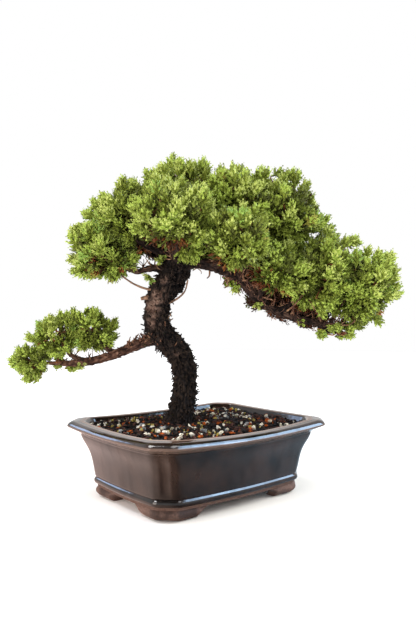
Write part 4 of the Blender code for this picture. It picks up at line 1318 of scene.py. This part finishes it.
def growTips(name, pitch, reachRange, dome, draw):
    # a tip and a heading for each even direction, gathered into domed sprays. The heading blends the way
    # out of the spray, of the mass and of the whole crown, and turns up except underneath
    centre, half = (np.array(row, float) * mm for row in massRows[name][1:])
    area = 4 * math.pi * np.prod(half) ** (2 / 3)
    directions = evenDirections(round(area / pitch**2))
    directions = unit(directions + draw.normal(0, 0.35 * pitch / half.mean(), directions.shape))
    sprays = evenDirections(max(5, round(area / leafShape["sprayPitch"] ** 2)))
    sprays = unit(sprays + draw.normal(0, leafShape["wander"], sprays.shape))
    facing = directions @ sprays.T
    spray = facing.argmax(axis=1)
    offset = np.arccos(np.clip(facing.max(axis=1), -1, 1)) * half.mean() / (leafShape["sprayPitch"] / 2)
    offset = np.clip(offset, 0, 1.3)
    sprayTall = draw.uniform(*reachRange, len(sprays))[spray]
    full = massReach(directions, half)
    jag = draw.uniform(1 - leafShape["jag"], 1 + leafShape["jag"], len(directions))
    wanted = full * sprayTall * (1 - dome * offset**2) * jag - leafShape["tipRoom"]
    length = np.minimum(wanted, cellReach(name, directions))
    tips = centre + directions * length[:, None]
    away = unit(tips - middleBehind(name))
    lift = leafShape["padLift" if name in openMasses else "lift"]
    ofSpray, ofMass, ofCrown = leafShape["headingShares"]
    heading = ofSpray * sprays[spray] + ofMass * directions + ofCrown * away
    heading = heading + draw.normal(0, leafShape["wander"], directions.shape)
    heading[:, 2] += lift * np.clip(directions[:, 2] - leafShape["liftFrom"], 0, 1)
    heading = unit(heading)
    keep = length > full * leafShape["least"] * reachRange[0]
    keep &= draw.random(len(spray)) < openMasses.get(name, 1)
    if name == "tail_under":
        keep &= directions[:, 2] > -0.45
    return tips[keep], heading[keep], spray[keep], offset[keep]


def outlierTips(name, draw):
    # three plumes at each outlier that lies nearest this mass, against the masses' own sizes
    places = np.array([(across, 0, up) for across, up in outliers]) * mm
    apart = [
        np.linalg.norm((places - np.array(centre) * mm) / (np.array(half) * mm), axis=1)
        for _, centre, half in massRows.values()
    ]
    mine = places[np.argmin(apart, axis=0) == list(massRows).index(name)].repeat(3, axis=0)
    tips = mine + draw.normal(0, 1, mine.shape) * (0.0030, 0.0060, 0.0025)
    heading = unit(unit(tips - middleBehind(name)) + draw.normal(0, 0.25, tips.shape) + (0, 0, 0.35))
    return tips - heading * leafShape["tipRoom"], heading, np.zeros(len(tips), int), np.full(len(tips), 0.4)


def inWindow(points, wider=1.0):
    # whether a plume would hide what the windows show, or hang in front of the right bough or below it
    hidden = np.zeros(len(points), bool)
    seen = seenFlat(points)
    for middle, half, depth in windows:
        apart = (seen / mm - middle) / half / wider
        hidden |= ((apart**2).sum(axis=1) < 1) & (points[:, 1] < depth * mm)
    bough = smoothPath(boughRows["right"], 0.002)
    order = np.argsort(bough[:, 0])
    across, level = bough[order, 0], bough[order, 2]
    room = np.interp(seen[:, 0] / mm, *zip(*clearance)) * mm + (wider - 1) * 0.03
    within = (seen[:, 0] > clearance[0][0] * mm) & (seen[:, 0] < clearance[-1][0] * mm)
    low = seen[:, 1] < np.interp(seen[:, 0], across, level) + room
    return hidden | (within & low & (points[:, 1] < 0.05))


def plumeShoots(tips, heading, scale, draw):
    # one long shoot leads to each tip. Short ones leave it at lower and lower places, in golden turns, lean
    # out more and more and bend back up to it
    count, size = leafShape["shoots"], leafShape["plumeLength"] * scale
    across, other = (side[:, None] for side in squareTo(heading))
    axis = heading[:, None]
    index = np.arange(count)
    share = np.maximum(index - 1, 0) / (count - 2)
    below = np.where(index > 0, 0.30 + 0.42 * share, 0)[None, :, None] * size
    around = (index * goldenAngle + draw.uniform(0, 2 * math.pi, (len(tips), 1)))[..., None]
    radial = between(across, other, around)
    low, high = leafShape["tilt"]
    tilt = np.where(index > 0, low + (high - low) * share, 0) + draw.normal(0, 0.16, (len(tips), count))
    direction = unit(between(axis, radial, tilt[..., None]))
    length = draw.uniform(*leafShape["shootLength"], (len(tips), count)) * scale * (0.85 + 0.3 * share)
    length[:, 0] = size * 0.95
    below = np.where(index[None, :, None] > 0, below, length[..., None])
    start = tips[:, None] - axis * below
    bend = axis * 0.35 + np.array((0, 0, 0.12)) - radial * 0.1
    return start.reshape(-1, 3), direction.reshape(-1, 3), length.reshape(-1), bend.reshape(-1, 3)


def tuftShoots(tips, heading, kind, draw):
    # shoots spread about each heading like the fingers of a hand
    count, lengths, (least, most), _ = tufts[kind]
    across, other = (side[:, None] for side in squareTo(heading))
    index = np.arange(count)
    around = (index * goldenAngle + draw.uniform(0, 2 * math.pi, (len(tips), 1)))[..., None]
    tilt = least + (most - least) * np.sqrt(index / count) + draw.normal(0, 0.12, (len(tips), count))
    radial = between(across, other, around)
    direction = unit(between(heading[:, None], radial, tilt[..., None]))
    length = draw.uniform(*lengths, (len(tips), count))
    start = tips[:, None] - heading[:, None] * lengths[1] * 0.95 + 0 * direction
    bend = 0 * direction + (0, 0, 0.2)
    return start.reshape(-1, 3), direction.reshape(-1, 3), length.reshape(-1), bend.reshape(-1, 3)


def needleMesh(shoots, tones, needles, needleLength, needleWidth, stemRadius, draw):
    # each shoot is a slim spindle with needles on a golden spiral round it. A needle is a folded lozenge:
    # root, two sides and a point, leaning forward a little more the nearer it sits to the shoot's tip
    start, direction, length, bend = shoots
    count = len(start)
    across, other = squareTo(direction)
    curve = bend[:, None]
    index = np.arange(needles)
    t = (0.08 + 0.92 * (index + 0.5) / needles)[None, :, None]
    along = unit(direction[:, None] + curve * t)
    around = (index * goldenAngle)[None, :, None] + draw.uniform(0, 2 * math.pi, (count, 1, 1))
    radial = between(across[:, None], other[:, None], around)
    lean = np.radians(40 - 16 * t) + draw.normal(0, 0.1, (count, needles, 1))
    needle = unit(between(along, radial, lean))
    side = unit(np.cross(along, radial))
    inwards = unit(np.cross(side, needle))
    axis = start[:, None] + (direction[:, None] * t + curve * t * t / 2) * length[:, None, None]
    root = axis + radial * stemRadius * 0.5
    grown = needleLength * (1.0 - 0.15 * t) * draw.uniform(0.82, 1.15, (count, needles, 1))
    middle = root + needle * grown * 0.5 + inwards * needleWidth * 0.22
    half = side * needleWidth / 2
    lozenge = np.stack([root, middle + half, root + needle * grown, middle - half], axis=2)
    needleFaces = repeated(np.array(((0, 1, 2), (0, 2, 3))), count * needles, 4)
    # the spindle: square rings at shares of its length, and a point
    square = np.stack([across, other, -across, -other], axis=1)
    rings = []
    for place, wide in ((0, 0.65), (0.64, 1.05), (1.0, 0.0)):
        middles = start + (direction * place + bend * place * place / 2) * length[:, None]
        rings.append(middles[:, None] + square * stemRadius * wide)
    spindle = np.concatenate([*rings[:2], rings[2][:, :1]], axis=1)
    ring = np.arange(4)
    following = (ring + 1) % 4
    lower = np.stack([ring, following, 4 + following], axis=1)
    upper = np.stack([ring, 4 + following, 4 + ring], axis=1)
    point = np.stack([4 + ring, 4 + following, ring * 0 + 8], axis=1)
    spindleFaces = repeated(np.concatenate([lower, upper, point]), count, 9)
    points = np.concatenate([lozenge.reshape(-1, 3), spindle.reshape(-1, 3)])
    faces = np.concatenate([needleFaces, spindleFaces + count * needles * 4])
    tone = np.where(t[:, :, 0] > 0.5, tones[:, 1:2], tones[:, :1])
    spindleTone = tones[:, (0,) * 8 + (1,) * 4]
    slots = np.concatenate([tone.repeat(2, axis=1).ravel(), spindleTone.ravel()])
    return points, faces, slots


def dealTones(tones, spray, draw):
    # each spray gets a colour pair, and every other plume its own
    names = list(needleColours)
    pairs = np.array([(names.index(old), names.index(tip)) for old, tip, _ in tones])
    weights = np.array([weight for _, _, weight in tones])
    weights /= weights.sum()
    ofSpray = draw.choice(len(tones), spray.max() + 1, p=weights)[spray]
    own = draw.choice(len(tones), len(spray), p=weights)
    return pairs[np.where(draw.random(len(spray)) < 0.5, own, ofSpray)]


def offLimbs(shoots, tones, limbs):
    # leaves out the shoots that would grow through a limb
    start, direction, length, _ = shoots
    free = ~nearLimb(start + direction * length[:, None] * 0.6, limbs, leafShape["limbMargin"])
    return [row[free] for row in shoots], tones[free]


def growPlumes(name, limbs, draw):
    # a mass's plumes: the even ones that leave the windows clear, and its outliers. Masses to the sides get
    # lighter colours, as painted light; those underneath get darker ones, as painted shade with a few dead
    # needles, and those at a spray's edge are painted darker as shade. It gives their mesh and the twigs to
    # grow: radius, the mass's middle and the ends
    centre = np.array(massRows[name][1], float) * mm
    isOpen = name in openMasses
    pitch = leafShape["openPitch" if isOpen else "plumePitch"]
    grown = growTips(name, pitch, leafShape["reach"], leafShape["dome"], draw)
    clear = ~inWindow(grown[0] - grown[1] * leafShape["plumeLength"] * 0.45)
    added = outlierTips(name, draw)
    tips, heading, spray, offset = (np.concatenate([row[clear], more]) for row, more in zip(grown, added))
    fromCentre = np.linalg.norm(tips - centre, axis=1)
    under = ((tips - centre)[:, 2] < leafShape["underFrom"] * fromCentre) & (not isOpen)
    # painted light: the masses to the left and far right get lighter colours
    isPaintedLit = centre[0] < paintedLightSides[0] or centre[0] > paintedLightSides[1]
    usual = dealTones(padTones if isOpen else paintedLightTones if isPaintedLit else plumeTones, spray, draw)
    # painted shade underneath, with a few dead needles
    tones = np.where(under[:, None], dealTones(underShadeAndDeadTones, spray, draw), usual)
    # painted shade: plumes at a spray's edge get darker colours
    edge = offset + draw.normal(0, 0.08, len(offset)) > leafShape["edgeFrom"]
    tones = np.where(edge[:, None], dealTones(edgeShadeTones, spray, draw), tones)
    scale = plumeScale.get(name, 1)
    shoots = plumeShoots(tips, heading, scale, draw)
    tones = tones.repeat(leafShape["shoots"], axis=0)
    plain = draw.random(len(tones)) < leafShape["plainShoots"]
    tones = np.where(plain[:, None], tones[:, :1], tones)
    shoots, tones = offLimbs(shoots, tones, limbs)
    needles = (leafShape[key] for key in ("needles", "needleLength", "needleWidth", "stemRadius"))
    ends = tips - heading * leafShape["plumeLength"] * scale
    return needleMesh(shoots, tones, *needles, draw), (fineTwigs["mainRadii"][isOpen], centre, ends)


def growInnerTufts(name, limbs, draw):
    # coarser tufts further in, painted dark as shade. The windows show dead ones, and the sky hole shows
    # none
    grown = growTips(name, leafShape["innerPitch"], leafShape["innerReach"], 0.0, draw)[:3]
    tips, heading, spray = (row[~inSkyHole(grown[0])] for row in grown)
    dead = inWindow(tips, wider=1.15)[:, None]
    tones = np.where(dead, dealTones(deadTones, spray, draw), dealTones(innerShadeTones, spray, draw))
    shoots = tuftShoots(tips, heading, "inner", draw)
    shoots, tones = offLimbs(shoots, tones.repeat(tufts["inner"][0], axis=0), limbs)
    return needleMesh(shoots, tones, *tufts["inner"][3], draw)


def makeFoliage(limbs):
    # one piece for each mass: its plumes and, where it is closed, the tufts inside it
    twigEnds, total = [], 0
    for number, name in enumerate(massRows):
        draw = np.random.default_rng(leafShape["seed"] + number)
        plumes, ends = growPlumes(name, limbs, draw)
        parts = [plumes] if name in openMasses else [plumes, growInnerTufts(name, limbs, draw)]
        points, sets = joined([part[:2] for part in parts])
        slots = [part[2] for part in parts]
        needles = addPiece(
            f"needles_{name}", treeToWorld(points), sets, needleMaterials(), slots, smooth=False
        )
        twigEnds.append(ends)
        total += len(needles.data.polygons)
        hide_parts(f"foliage_{name}")
        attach(needles, "root")
    print(f"foliage grown: {total} faces", flush=True)
    return twigEnds


def makeFineTwigs(twigEnds):
    # main twigs from a mass's middle along even directions, and finer ones that leave them for each plume
    draw = np.random.default_rng(leafShape["seed"] + 50)
    paths, radii, thinPaths, thinRadii = [], [], [], []
    t = np.linspace(0, 1, 6)[None, :, None]
    few = np.linspace(0, 1, 4)[None, :, None]
    for mainRadius, centre, ends in twigEnds:
        chosen = ends[:: max(1, len(ends) // fineTwigs["mains"])]
        reach = (chosen - centre)[:, None]
        sag = np.array((0, 0, -fineTwigs["mainSag"])) * np.linalg.norm(reach, axis=2, keepdims=True)
        mains = centre + reach * t * 0.96 + sag * t * (1 - t)
        mains = mains + draw.normal(0, fineTwigs["mainWander"], mains.shape) * (t > 0)
        paths.append(mains)
        radii.append(mainRadius * (1 - 0.7 * t[..., 0]) * np.ones((len(mains), 1)))
        # each plume's twig leaves the nearest place on a main twig that lies closer to the middle
        nodes = mains[:, 1:5].reshape(-1, 3)
        apart = np.linalg.norm(ends[:, None] - nodes[None], axis=2)
        room = np.linalg.norm(ends - centre, axis=1)[:, None] - fineTwigs["stepIn"]
        closer = np.linalg.norm(nodes - centre, axis=1)[None] < room
        origin = nodes[np.where(closer, apart, 9).argmin(axis=1)]
        way = (ends - origin)[:, None]
        bow = np.array((0, 0, -fineTwigs["sag"])) * np.linalg.norm(way, axis=2, keepdims=True)
        thinPaths.append(origin[:, None] + way * few + bow * few * (1 - few))
        thinRadii.append(fineTwigs["radius"] * (1 - 0.3 * few[..., 0]) * np.ones((len(ends), 1)))
    thick = tubes(np.concatenate(paths), np.concatenate(radii), 5)
    thin = tubes(np.concatenate(thinPaths), np.concatenate(thinRadii), 3)
    points, sets = joined([thick, thin])
    twigs = addPiece("twigs_fine", treeToWorld(points), sets, [fineTwigMaterial()])
    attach(twigs, "root")


def fineTwigMaterial():
    # young twigs: thin orange-brown bark
    material, shader = newMaterial("youngTwigBark", "#7d4a2c", 0.8)
    place = addNode(material, "TexCoord", output="Object")
    patch = addNode(material, "TexNoise", {"Scale": 60, "Detail": 2}, {"Vector": place})  # 16 mm patches
    colour = addNode(material, "ValToRGB", None, {"Fac": patch}, ((0.38, "#4b2c1d"), (0.62, "#96592f")))
    feed(material, shader, Base_Color=colour)
    return material


# Dead twigs along the limbs' shaded sides, and the small sprigs that still grow there

# limb, the stretch of it that bears them, how many, least and greatest length in mm, how far they turn up,
# and their greatest radius in mm
deadRows = (
    ("right", 0.24, 0.80, 30, 18, 38, 0.8, 1.7),
    ("right", 0.20, 0.84, 90, 6, 18, 0.3, 1.2),
    ("right", 0.20, 0.86, 38, 3, 8, -0.4, 1.0),
    ("right", 0.08, 0.34, 34, 8, 16, -0.5, 1.5),
    ("right_low", 0.05, 0.90, 30, 6, 20, 0.5, 1.2),
    ("right_middle", 0.02, 0.60, 30, 8, 24, 0.3, 1.3),
    ("right_front", 0.20, 0.90, 16, 6, 14, 0.2, 1.0),
    ("tail_inner", 0.05, 0.80, 26, 6, 20, 0.3, 1.2),
    ("left", 0.10, 0.95, 40, 5, 18, 0.3, 1.1),
    ("left_top", 0.10, 0.75, 26, 6, 18, 0.6, 1.1),
    ("left_back", 0.10, 0.60, 20, 6, 16, 0.1, 1.0),
    ("front", 0.10, 0.60, 20, 6, 16, 0.1, 1.0),
    ("right_top", 0.10, 0.60, 22, 6, 16, 0.1, 1.0),
    ("low_left", 0.02, 0.30, 64, 7, 13, 0.15, 1.9),
    ("low_left", 0.40, 0.98, 26, 4, 14, 0.3, 1.0),
    ("trunk", 0.30, 0.46, 26, 8, 14, 0.0, 1.2),
)

# each sprig: where it hangs, its heading, its length in mm and the limb that bears it
sprigRows = (
    ((42, -14, 245), (0.1, -0.3, -0.6), 13, "right"),
    ((50, -17, 243), (0.5, -0.4, -0.3), 11, "right"),
    ((74, -14, 219), (0.3, -0.2, -0.8), 10, "right"),
    ((126, -9, 200), (0.2, -0.3, -0.7), 9, "right"),
    ((150, -10, 187), (0.5, -0.3, -0.5), 11, "right"),
    ((-136, -8, 147), (0.4, -0.3, -0.6), 12, "low_left"),
    ((-62, -9, 186), (-0.4, -0.5, 0.5), 8, "low_left"),
    ((-63, -11, 253), (-0.5, -0.2, -0.6), 10, "twig_left_short"),
    ((-58, -12, 249), (-0.3, -0.3, -0.8), 9, "twig_left_short"),
    ((-50, -13, 280), (-0.8, -0.3, 0.35), 13, "left"),
    ((-46, -12, 285), (-0.6, -0.3, 0.6), 12, "left"),
)


def makeThickets(limbs):
    # tufts of dead needles spread evenly through each thicket, r^(1/3) from its middle. It gives their feet
    draw = np.random.default_rng(leafShape["seed"] + 80)
    tips = []
    for middle, half, count in thickets:
        way = unit(draw.normal(0, 1, (count, 3))) * draw.random((count, 1)) ** (1 / 3)
        tips.append((np.array(middle) + way * half) * mm)
    tips = np.concatenate(tips)
    tips = tips[~nearLimb(tips, limbs, 0.002)]
    heading = unit(draw.normal(0, 0.5, tips.shape) + (0, -0.2, 0.7))
    shoots = tuftShoots(tips, heading, "dead", draw)
    tones = dealTones(deadTones, np.arange(len(tips)), draw)
    shoots, tones = offLimbs(shoots, tones.repeat(tufts["dead"][0], axis=0), limbs)
    points, faces, slots = needleMesh(shoots, tones, *tufts["dead"][3], draw)
    points = treeToWorld(points)
    piece = addPiece("needles_thickets", points, [faces], needleMaterials(), [slots], smooth=False)
    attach(piece, "root")
    return tips - heading * 0.012


def makeDeadTwigs(limbs, tuftFeet):
    # each leaves a limb sideways or downwards and curls: a straight line bent by a slow wave square to it
    draw = np.random.default_rng(leafShape["seed"] + 60)
    t = np.linspace(0, 1, 8)[None, :, None]
    paths, radii = [], []
    for name, first, last, count, least, greatest, lift, thickest in deadRows:
        path = limbPath(name, 0.002)
        tangents, across, other = framesAlong(path[:, :3])
        row = np.clip((draw.uniform(first, last, count) * len(path)).astype(int), 1, len(path) - 2)
        angle = draw.uniform(0, 2 * math.pi, (count, 1))
        outwards = between(across[row], other[row], angle)
        if lift > 0:
            outwards[:, 2] = np.abs(outwards[:, 2])
        heading = unit(outwards * 0.7 + tangents[row] * draw.uniform(-1.3, 1.7, (count, 1)) + (0, 0, lift))
        length = draw.uniform(least, greatest, (count, 1, 1)) * mm
        wave = np.sin(t * draw.uniform(2, 5, (count, 1, 1)) + draw.uniform(0, 6, (count, 1, 1)))
        wave = wave - wave[:, :1]
        swing = unit(np.cross(heading, draw.normal(0, 1, (count, 3))))[:, None]
        start = path[row, :3] + outwards * path[row, 3:] * 0.42
        paths.append(start[:, None] + heading[:, None] * length * t + swing * wave * length * 0.21)
        radii.append(draw.uniform(0.5, 1, (count, 1)) * thickest * mm * (1 - 0.55 * t[..., 0]))
    for place, heading, size, name in sprigRows:
        path = limbPath(name, 0.002)[:, :3]
        tip = np.array(place) * mm
        start = path[np.linalg.norm(path - tip, axis=1).argmin()]
        middle = tip - unit(np.array(heading, float)) * size * mm * 0.7
        bow = (middle - start) * t + np.array((0, 0, -0.002)) * t * (1 - t)
        paths.append(start + bow)
        radii.append(0.0008 * (1 - 0.4 * t[..., 0]))
    # one more twig bears each dead tuft, from the nearest place on a limb
    nearest = limbs[np.linalg.norm(tuftFeet[:, None] - limbs[None, :, :3], axis=2).argmin(axis=1), :3]
    way = (tuftFeet - nearest)[:, None]
    bow = draw.normal(0, 0.16, (len(way), 1, 3)) * np.linalg.norm(way, axis=2, keepdims=True)
    paths.append(nearest[:, None] + way * t + bow * t * (1 - t))
    radii.append(0.0010 * (1 - 0.5 * t[..., 0]) * draw.uniform(0.6, 1.2, (len(way), 1)))
    points, sides, caps = tubes(np.concatenate(paths), np.concatenate(radii), 4)
    twigs = addPiece("twigs_dead", treeToWorld(points), [sides, caps], [deadTwigMaterial()])
    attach(twigs, "root")


def makeSprigs():
    # a tuft of fresh needles at each sprig's place
    draw = np.random.default_rng(leafShape["seed"] + 70)
    tips = np.array([place for place, *_ in sprigRows]) * mm
    heading = unit(np.array([row[1] for row in sprigRows], float))
    shoots = tuftShoots(tips, heading, "sprig", draw)
    tones = dealTones(plumeTones, np.arange(len(tips)), draw).repeat(tufts["sprig"][0], axis=0)
    points, faces, slots = needleMesh(shoots, tones, *tufts["sprig"][3], draw)
    points = treeToWorld(points)
    sprigs = addPiece("needles_sprigs", points, [faces], needleMaterials(), [slots], smooth=False)
    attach(sprigs, "root")


def deadTwigMaterial():
    # dry bare twigs: dull, from dark brown to rust and straw
    material, shader = newMaterial("deadTwigWood", "#6b4530", 0.9)
    place = addNode(material, "TexCoord", output="Object")
    patch = addNode(material, "TexNoise", {"Scale": 110, "Detail": 2}, {"Vector": place})  # 9 mm patches
    stops = ((0.34, "#24150f"), (0.5, "#65402d"), (0.66, "#a37f60"))
    colour = addNode(material, "ValToRGB", None, {"Fac": patch}, stops)
    feed(material, shader, Base_Color=colour)
    return material


# The floor, the light and the camera

studio = {
    "floor": 3.0,
    "camera": (-39.33, -0.47, 0.734),  # azimuth, elevation in degrees, distance
    "aim": (0.0125, 0.2166),  # right of and above the middle of the pot's underside
    "lens": 609 / 624,  # the focal length against the picture's longer side
    "sensor": 36,
    "walls": ((0.5, "#ffffff"), (0.8, "#bfc1c4")),  # white up to the walls' tops, then a pale grey ceiling
    "sun": (-0.5, 0.4, 1.4),  # where the even key light comes from
    "sunStrength": 2.6,
    "sunAngle": 28,
}

# each lamp: its place, its size, its power in watts, its colour, and what it lights
lamps = (
    ("topSoftbox", (0.3, -0.6, 1.8), (1.0, 1.0), 18, "#ffffff", "all"),
    ("leftSoftbox", (-1.5, 0.1, 0.5), (1.0, 1.2), 19, "#fff0e4", "all"),
    ("rightSoftbox", (0.9, -0.95, 0.9), (0.8, 0.8), 15, "#fffaf0", "surfaces"),
    ("rightWindow", (1.19, -0.83, 1.08), (0.85, 1.0), 36, "#b2d3f5", "gloss"),
    ("backWindow", (-0.66, 1.35, 0.65), (0.4, 0.3), 2.6, "#b2cdf8", "gloss"),
    ("frontWindow", (0.78, -1.11, 0.90), (0.5, 0.5), 9, "#b2d3f5", "gloss"),
)

# painted reflection: a graduated card that glows lies on the floor round the pot and shows only in its
# glaze: its colour at each bearing
reflectionCardShape = {
    "radii": (0.06, 1.7),
    "height": 0.001,
    "glow": 1.6,
    "tones": (
        (15, "#a9b9c6"), (70, "#e8cfc6"), (129, "#fbddd5"), (188, "#fbdccf"), (206, "#dfbcab"),
        (219, "#8d6f62"), (229, "#3f3a38"), (240, "#66717a"), (309, "#8c9fae"), (375, "#a9b9c6"),
    ),
}


def makeStudio():
    # a round floor, the room, the lamps, the glowing card of painted reflections and the camera
    ring = np.linspace(0, 2 * math.pi, 96, endpoint=False)
    edge = np.stack([np.cos(ring), np.sin(ring), 0 * ring], axis=1) * studio["floor"]
    floor = addPiece("floor", edge, [np.arange(96)[None]], [floorMaterial()], smooth=False)
    bpy.context.scene.view_settings.view_transform = "Standard"  # the photo's plain tones
    addWalls()
    for name, *settings in lamps:
        addLight(name, *settings)
    addReflectionCard()
    addSun()
    addCamera()


def addWalls():
    # the pale room all round, by height
    world = bpy.data.worlds.new("studioWhite")
    world.use_nodes = True
    background = world.node_tree.nodes["Background"]
    place = addNode(world, "TexCoord", output="Generated")
    height = addNode(world, "SeparateXYZ", links={"Vector": place}, output="Z")
    tone = addNode(world, "ValToRGB", None, {"Fac": height}, studio["walls"])
    world.node_tree.links.new(tone, background.inputs["Color"])
    bpy.context.scene.world = world


def addSun():
    # one even key light, as soft as its angle is wide
    sun = bpy.data.lights.new("keySun", "SUN")
    sun.energy = studio["sunStrength"]
    sun.angle = math.radians(studio["sunAngle"])
    key = bpy.data.objects.new("keySun", sun)
    key.rotation_euler = Vector(studio["sun"]).to_track_quat("Z", "Y").to_euler()
    bpy.context.scene.collection.objects.link(key)


def addCamera():
    # the camera looks back along the way from its aim, which azimuth and elevation give
    azimuth, elevation = (math.radians(angle) for angle in studio["camera"][:2])
    right = Vector((math.cos(azimuth), math.sin(azimuth), 0))
    flat = math.cos(elevation)
    back = Vector((math.sin(azimuth) * flat, -math.cos(azimuth) * flat, math.sin(elevation)))
    up = back.cross(right)
    lens = bpy.data.cameras.new("camera")
    lens.sensor_width = studio["sensor"]
    lens.lens = studio["lens"] * studio["sensor"]
    camera = bpy.data.objects.new("camera", lens)
    bpy.context.scene.collection.objects.link(camera)
    place = Matrix((right, up, back)).transposed().to_4x4()
    aim = Vector(potMiddle) + right * studio["aim"][0] + up * studio["aim"][1]
    place.translation = aim + back * studio["camera"][2]
    camera.matrix_world = place
    bpy.context.scene.camera = camera


def addLight(name, place, size, power, colour, lit):
    # a flat lamp that faces the pot, for matt surfaces, for gloss or for both
    lamp = bpy.data.lights.new(name, "AREA")
    lamp.shape = "RECTANGLE"
    lamp.size, lamp.size_y = size
    lamp.energy = power
    lamp.color = linearColour(colour)[:3]
    light = bpy.data.objects.new(name, lamp)
    light.location = place
    light.rotation_euler = (Vector((0, 0, 0.1)) - Vector(place)).to_track_quat("-Z", "Y").to_euler()
    light.visible_diffuse = lit != "gloss"
    light.visible_glossy = lit != "surfaces"
    bpy.context.scene.collection.objects.link(light)


def addReflectionCard():
    # a glowing card of painted reflections, laid out round the pot: r (cos b, sin b) between two radii,
    # with each bearing b kept
    bearings = np.linspace(reflectionCardShape["tones"][0][0], reflectionCardShape["tones"][-1][0], 145)
    around = np.radians(bearings)
    circle = np.stack([np.cos(around), np.sin(around), 0 * around], axis=1)
    rings = [circle * radius for radius in reflectionCardShape["radii"]]
    points = np.concatenate(rings) + (0, 0, reflectionCardShape["height"])
    index = np.arange(len(bearings) - 1)
    faces = np.stack([index, index + len(bearings), index + len(bearings) + 1, index + 1], axis=1)
    # the card glows, though it is no lamp, to paint reflections in the glaze
    glow = {"Emission Strength": reflectionCardShape["glow"]}
    material, shader = newMaterial("paintedReflectionCard", "#000000", 1.0, **glow)
    start, span = bearings[0], bearings[-1] - bearings[0]
    bearing = addNode(material, "Attribute", output="Fac", attribute_name="bearing")
    stops = [((place - start) / span, colour) for place, colour in reflectionCardShape["tones"]]
    tone = addNode(material, "ValToRGB", None, {"Fac": bearing}, stops)
    feed(material, shader, Emission_Color=tone)
    attributes = {"bearing": np.tile((bearings - start) / span, 2)}
    card = addPiece("painted_reflection_card", points, [faces], [material], smooth=False, attributes=attributes)
    card.visible_camera = card.visible_diffuse = card.visible_shadow = False
    card.visible_transmission = card.visible_volume_scatter = False


def floorMaterial():
    # matt white paper
    material, shader = newMaterial("whitePaperFloor", "#f4f5f6", 0.9)
    place = addNode(material, "TexCoord", output="Object")
    cloud = addNode(material, "TexNoise", {"Scale": 5, "Detail": 1}, {"Vector": place})  # 0.2 m clouds
    colour = addNode(material, "ValToRGB", None, {"Fac": cloud}, ((0.3, "#eef1f5"), (0.7, "#f8f7f4")))
    feed(material, shader, Base_Color=colour)
    return material


makePot()
print("pot glazed")
makeFeet()
makeSoil()
makeGrains()
print("feet and potting mix laid")
makeTrunk()
makeBoughs()
makeBareTwigs()
print("limbs grown")
limbPoints = np.vstack([limbPath(name, 0.004) for name in ("trunk", *boughRows)])
makeFineTwigs(makeFoliage(limbPoints))
makeDeadTwigs(limbPoints, makeThickets(limbPoints))
makeSprigs()
print("twigs and sprigs grown")
makeStudio()
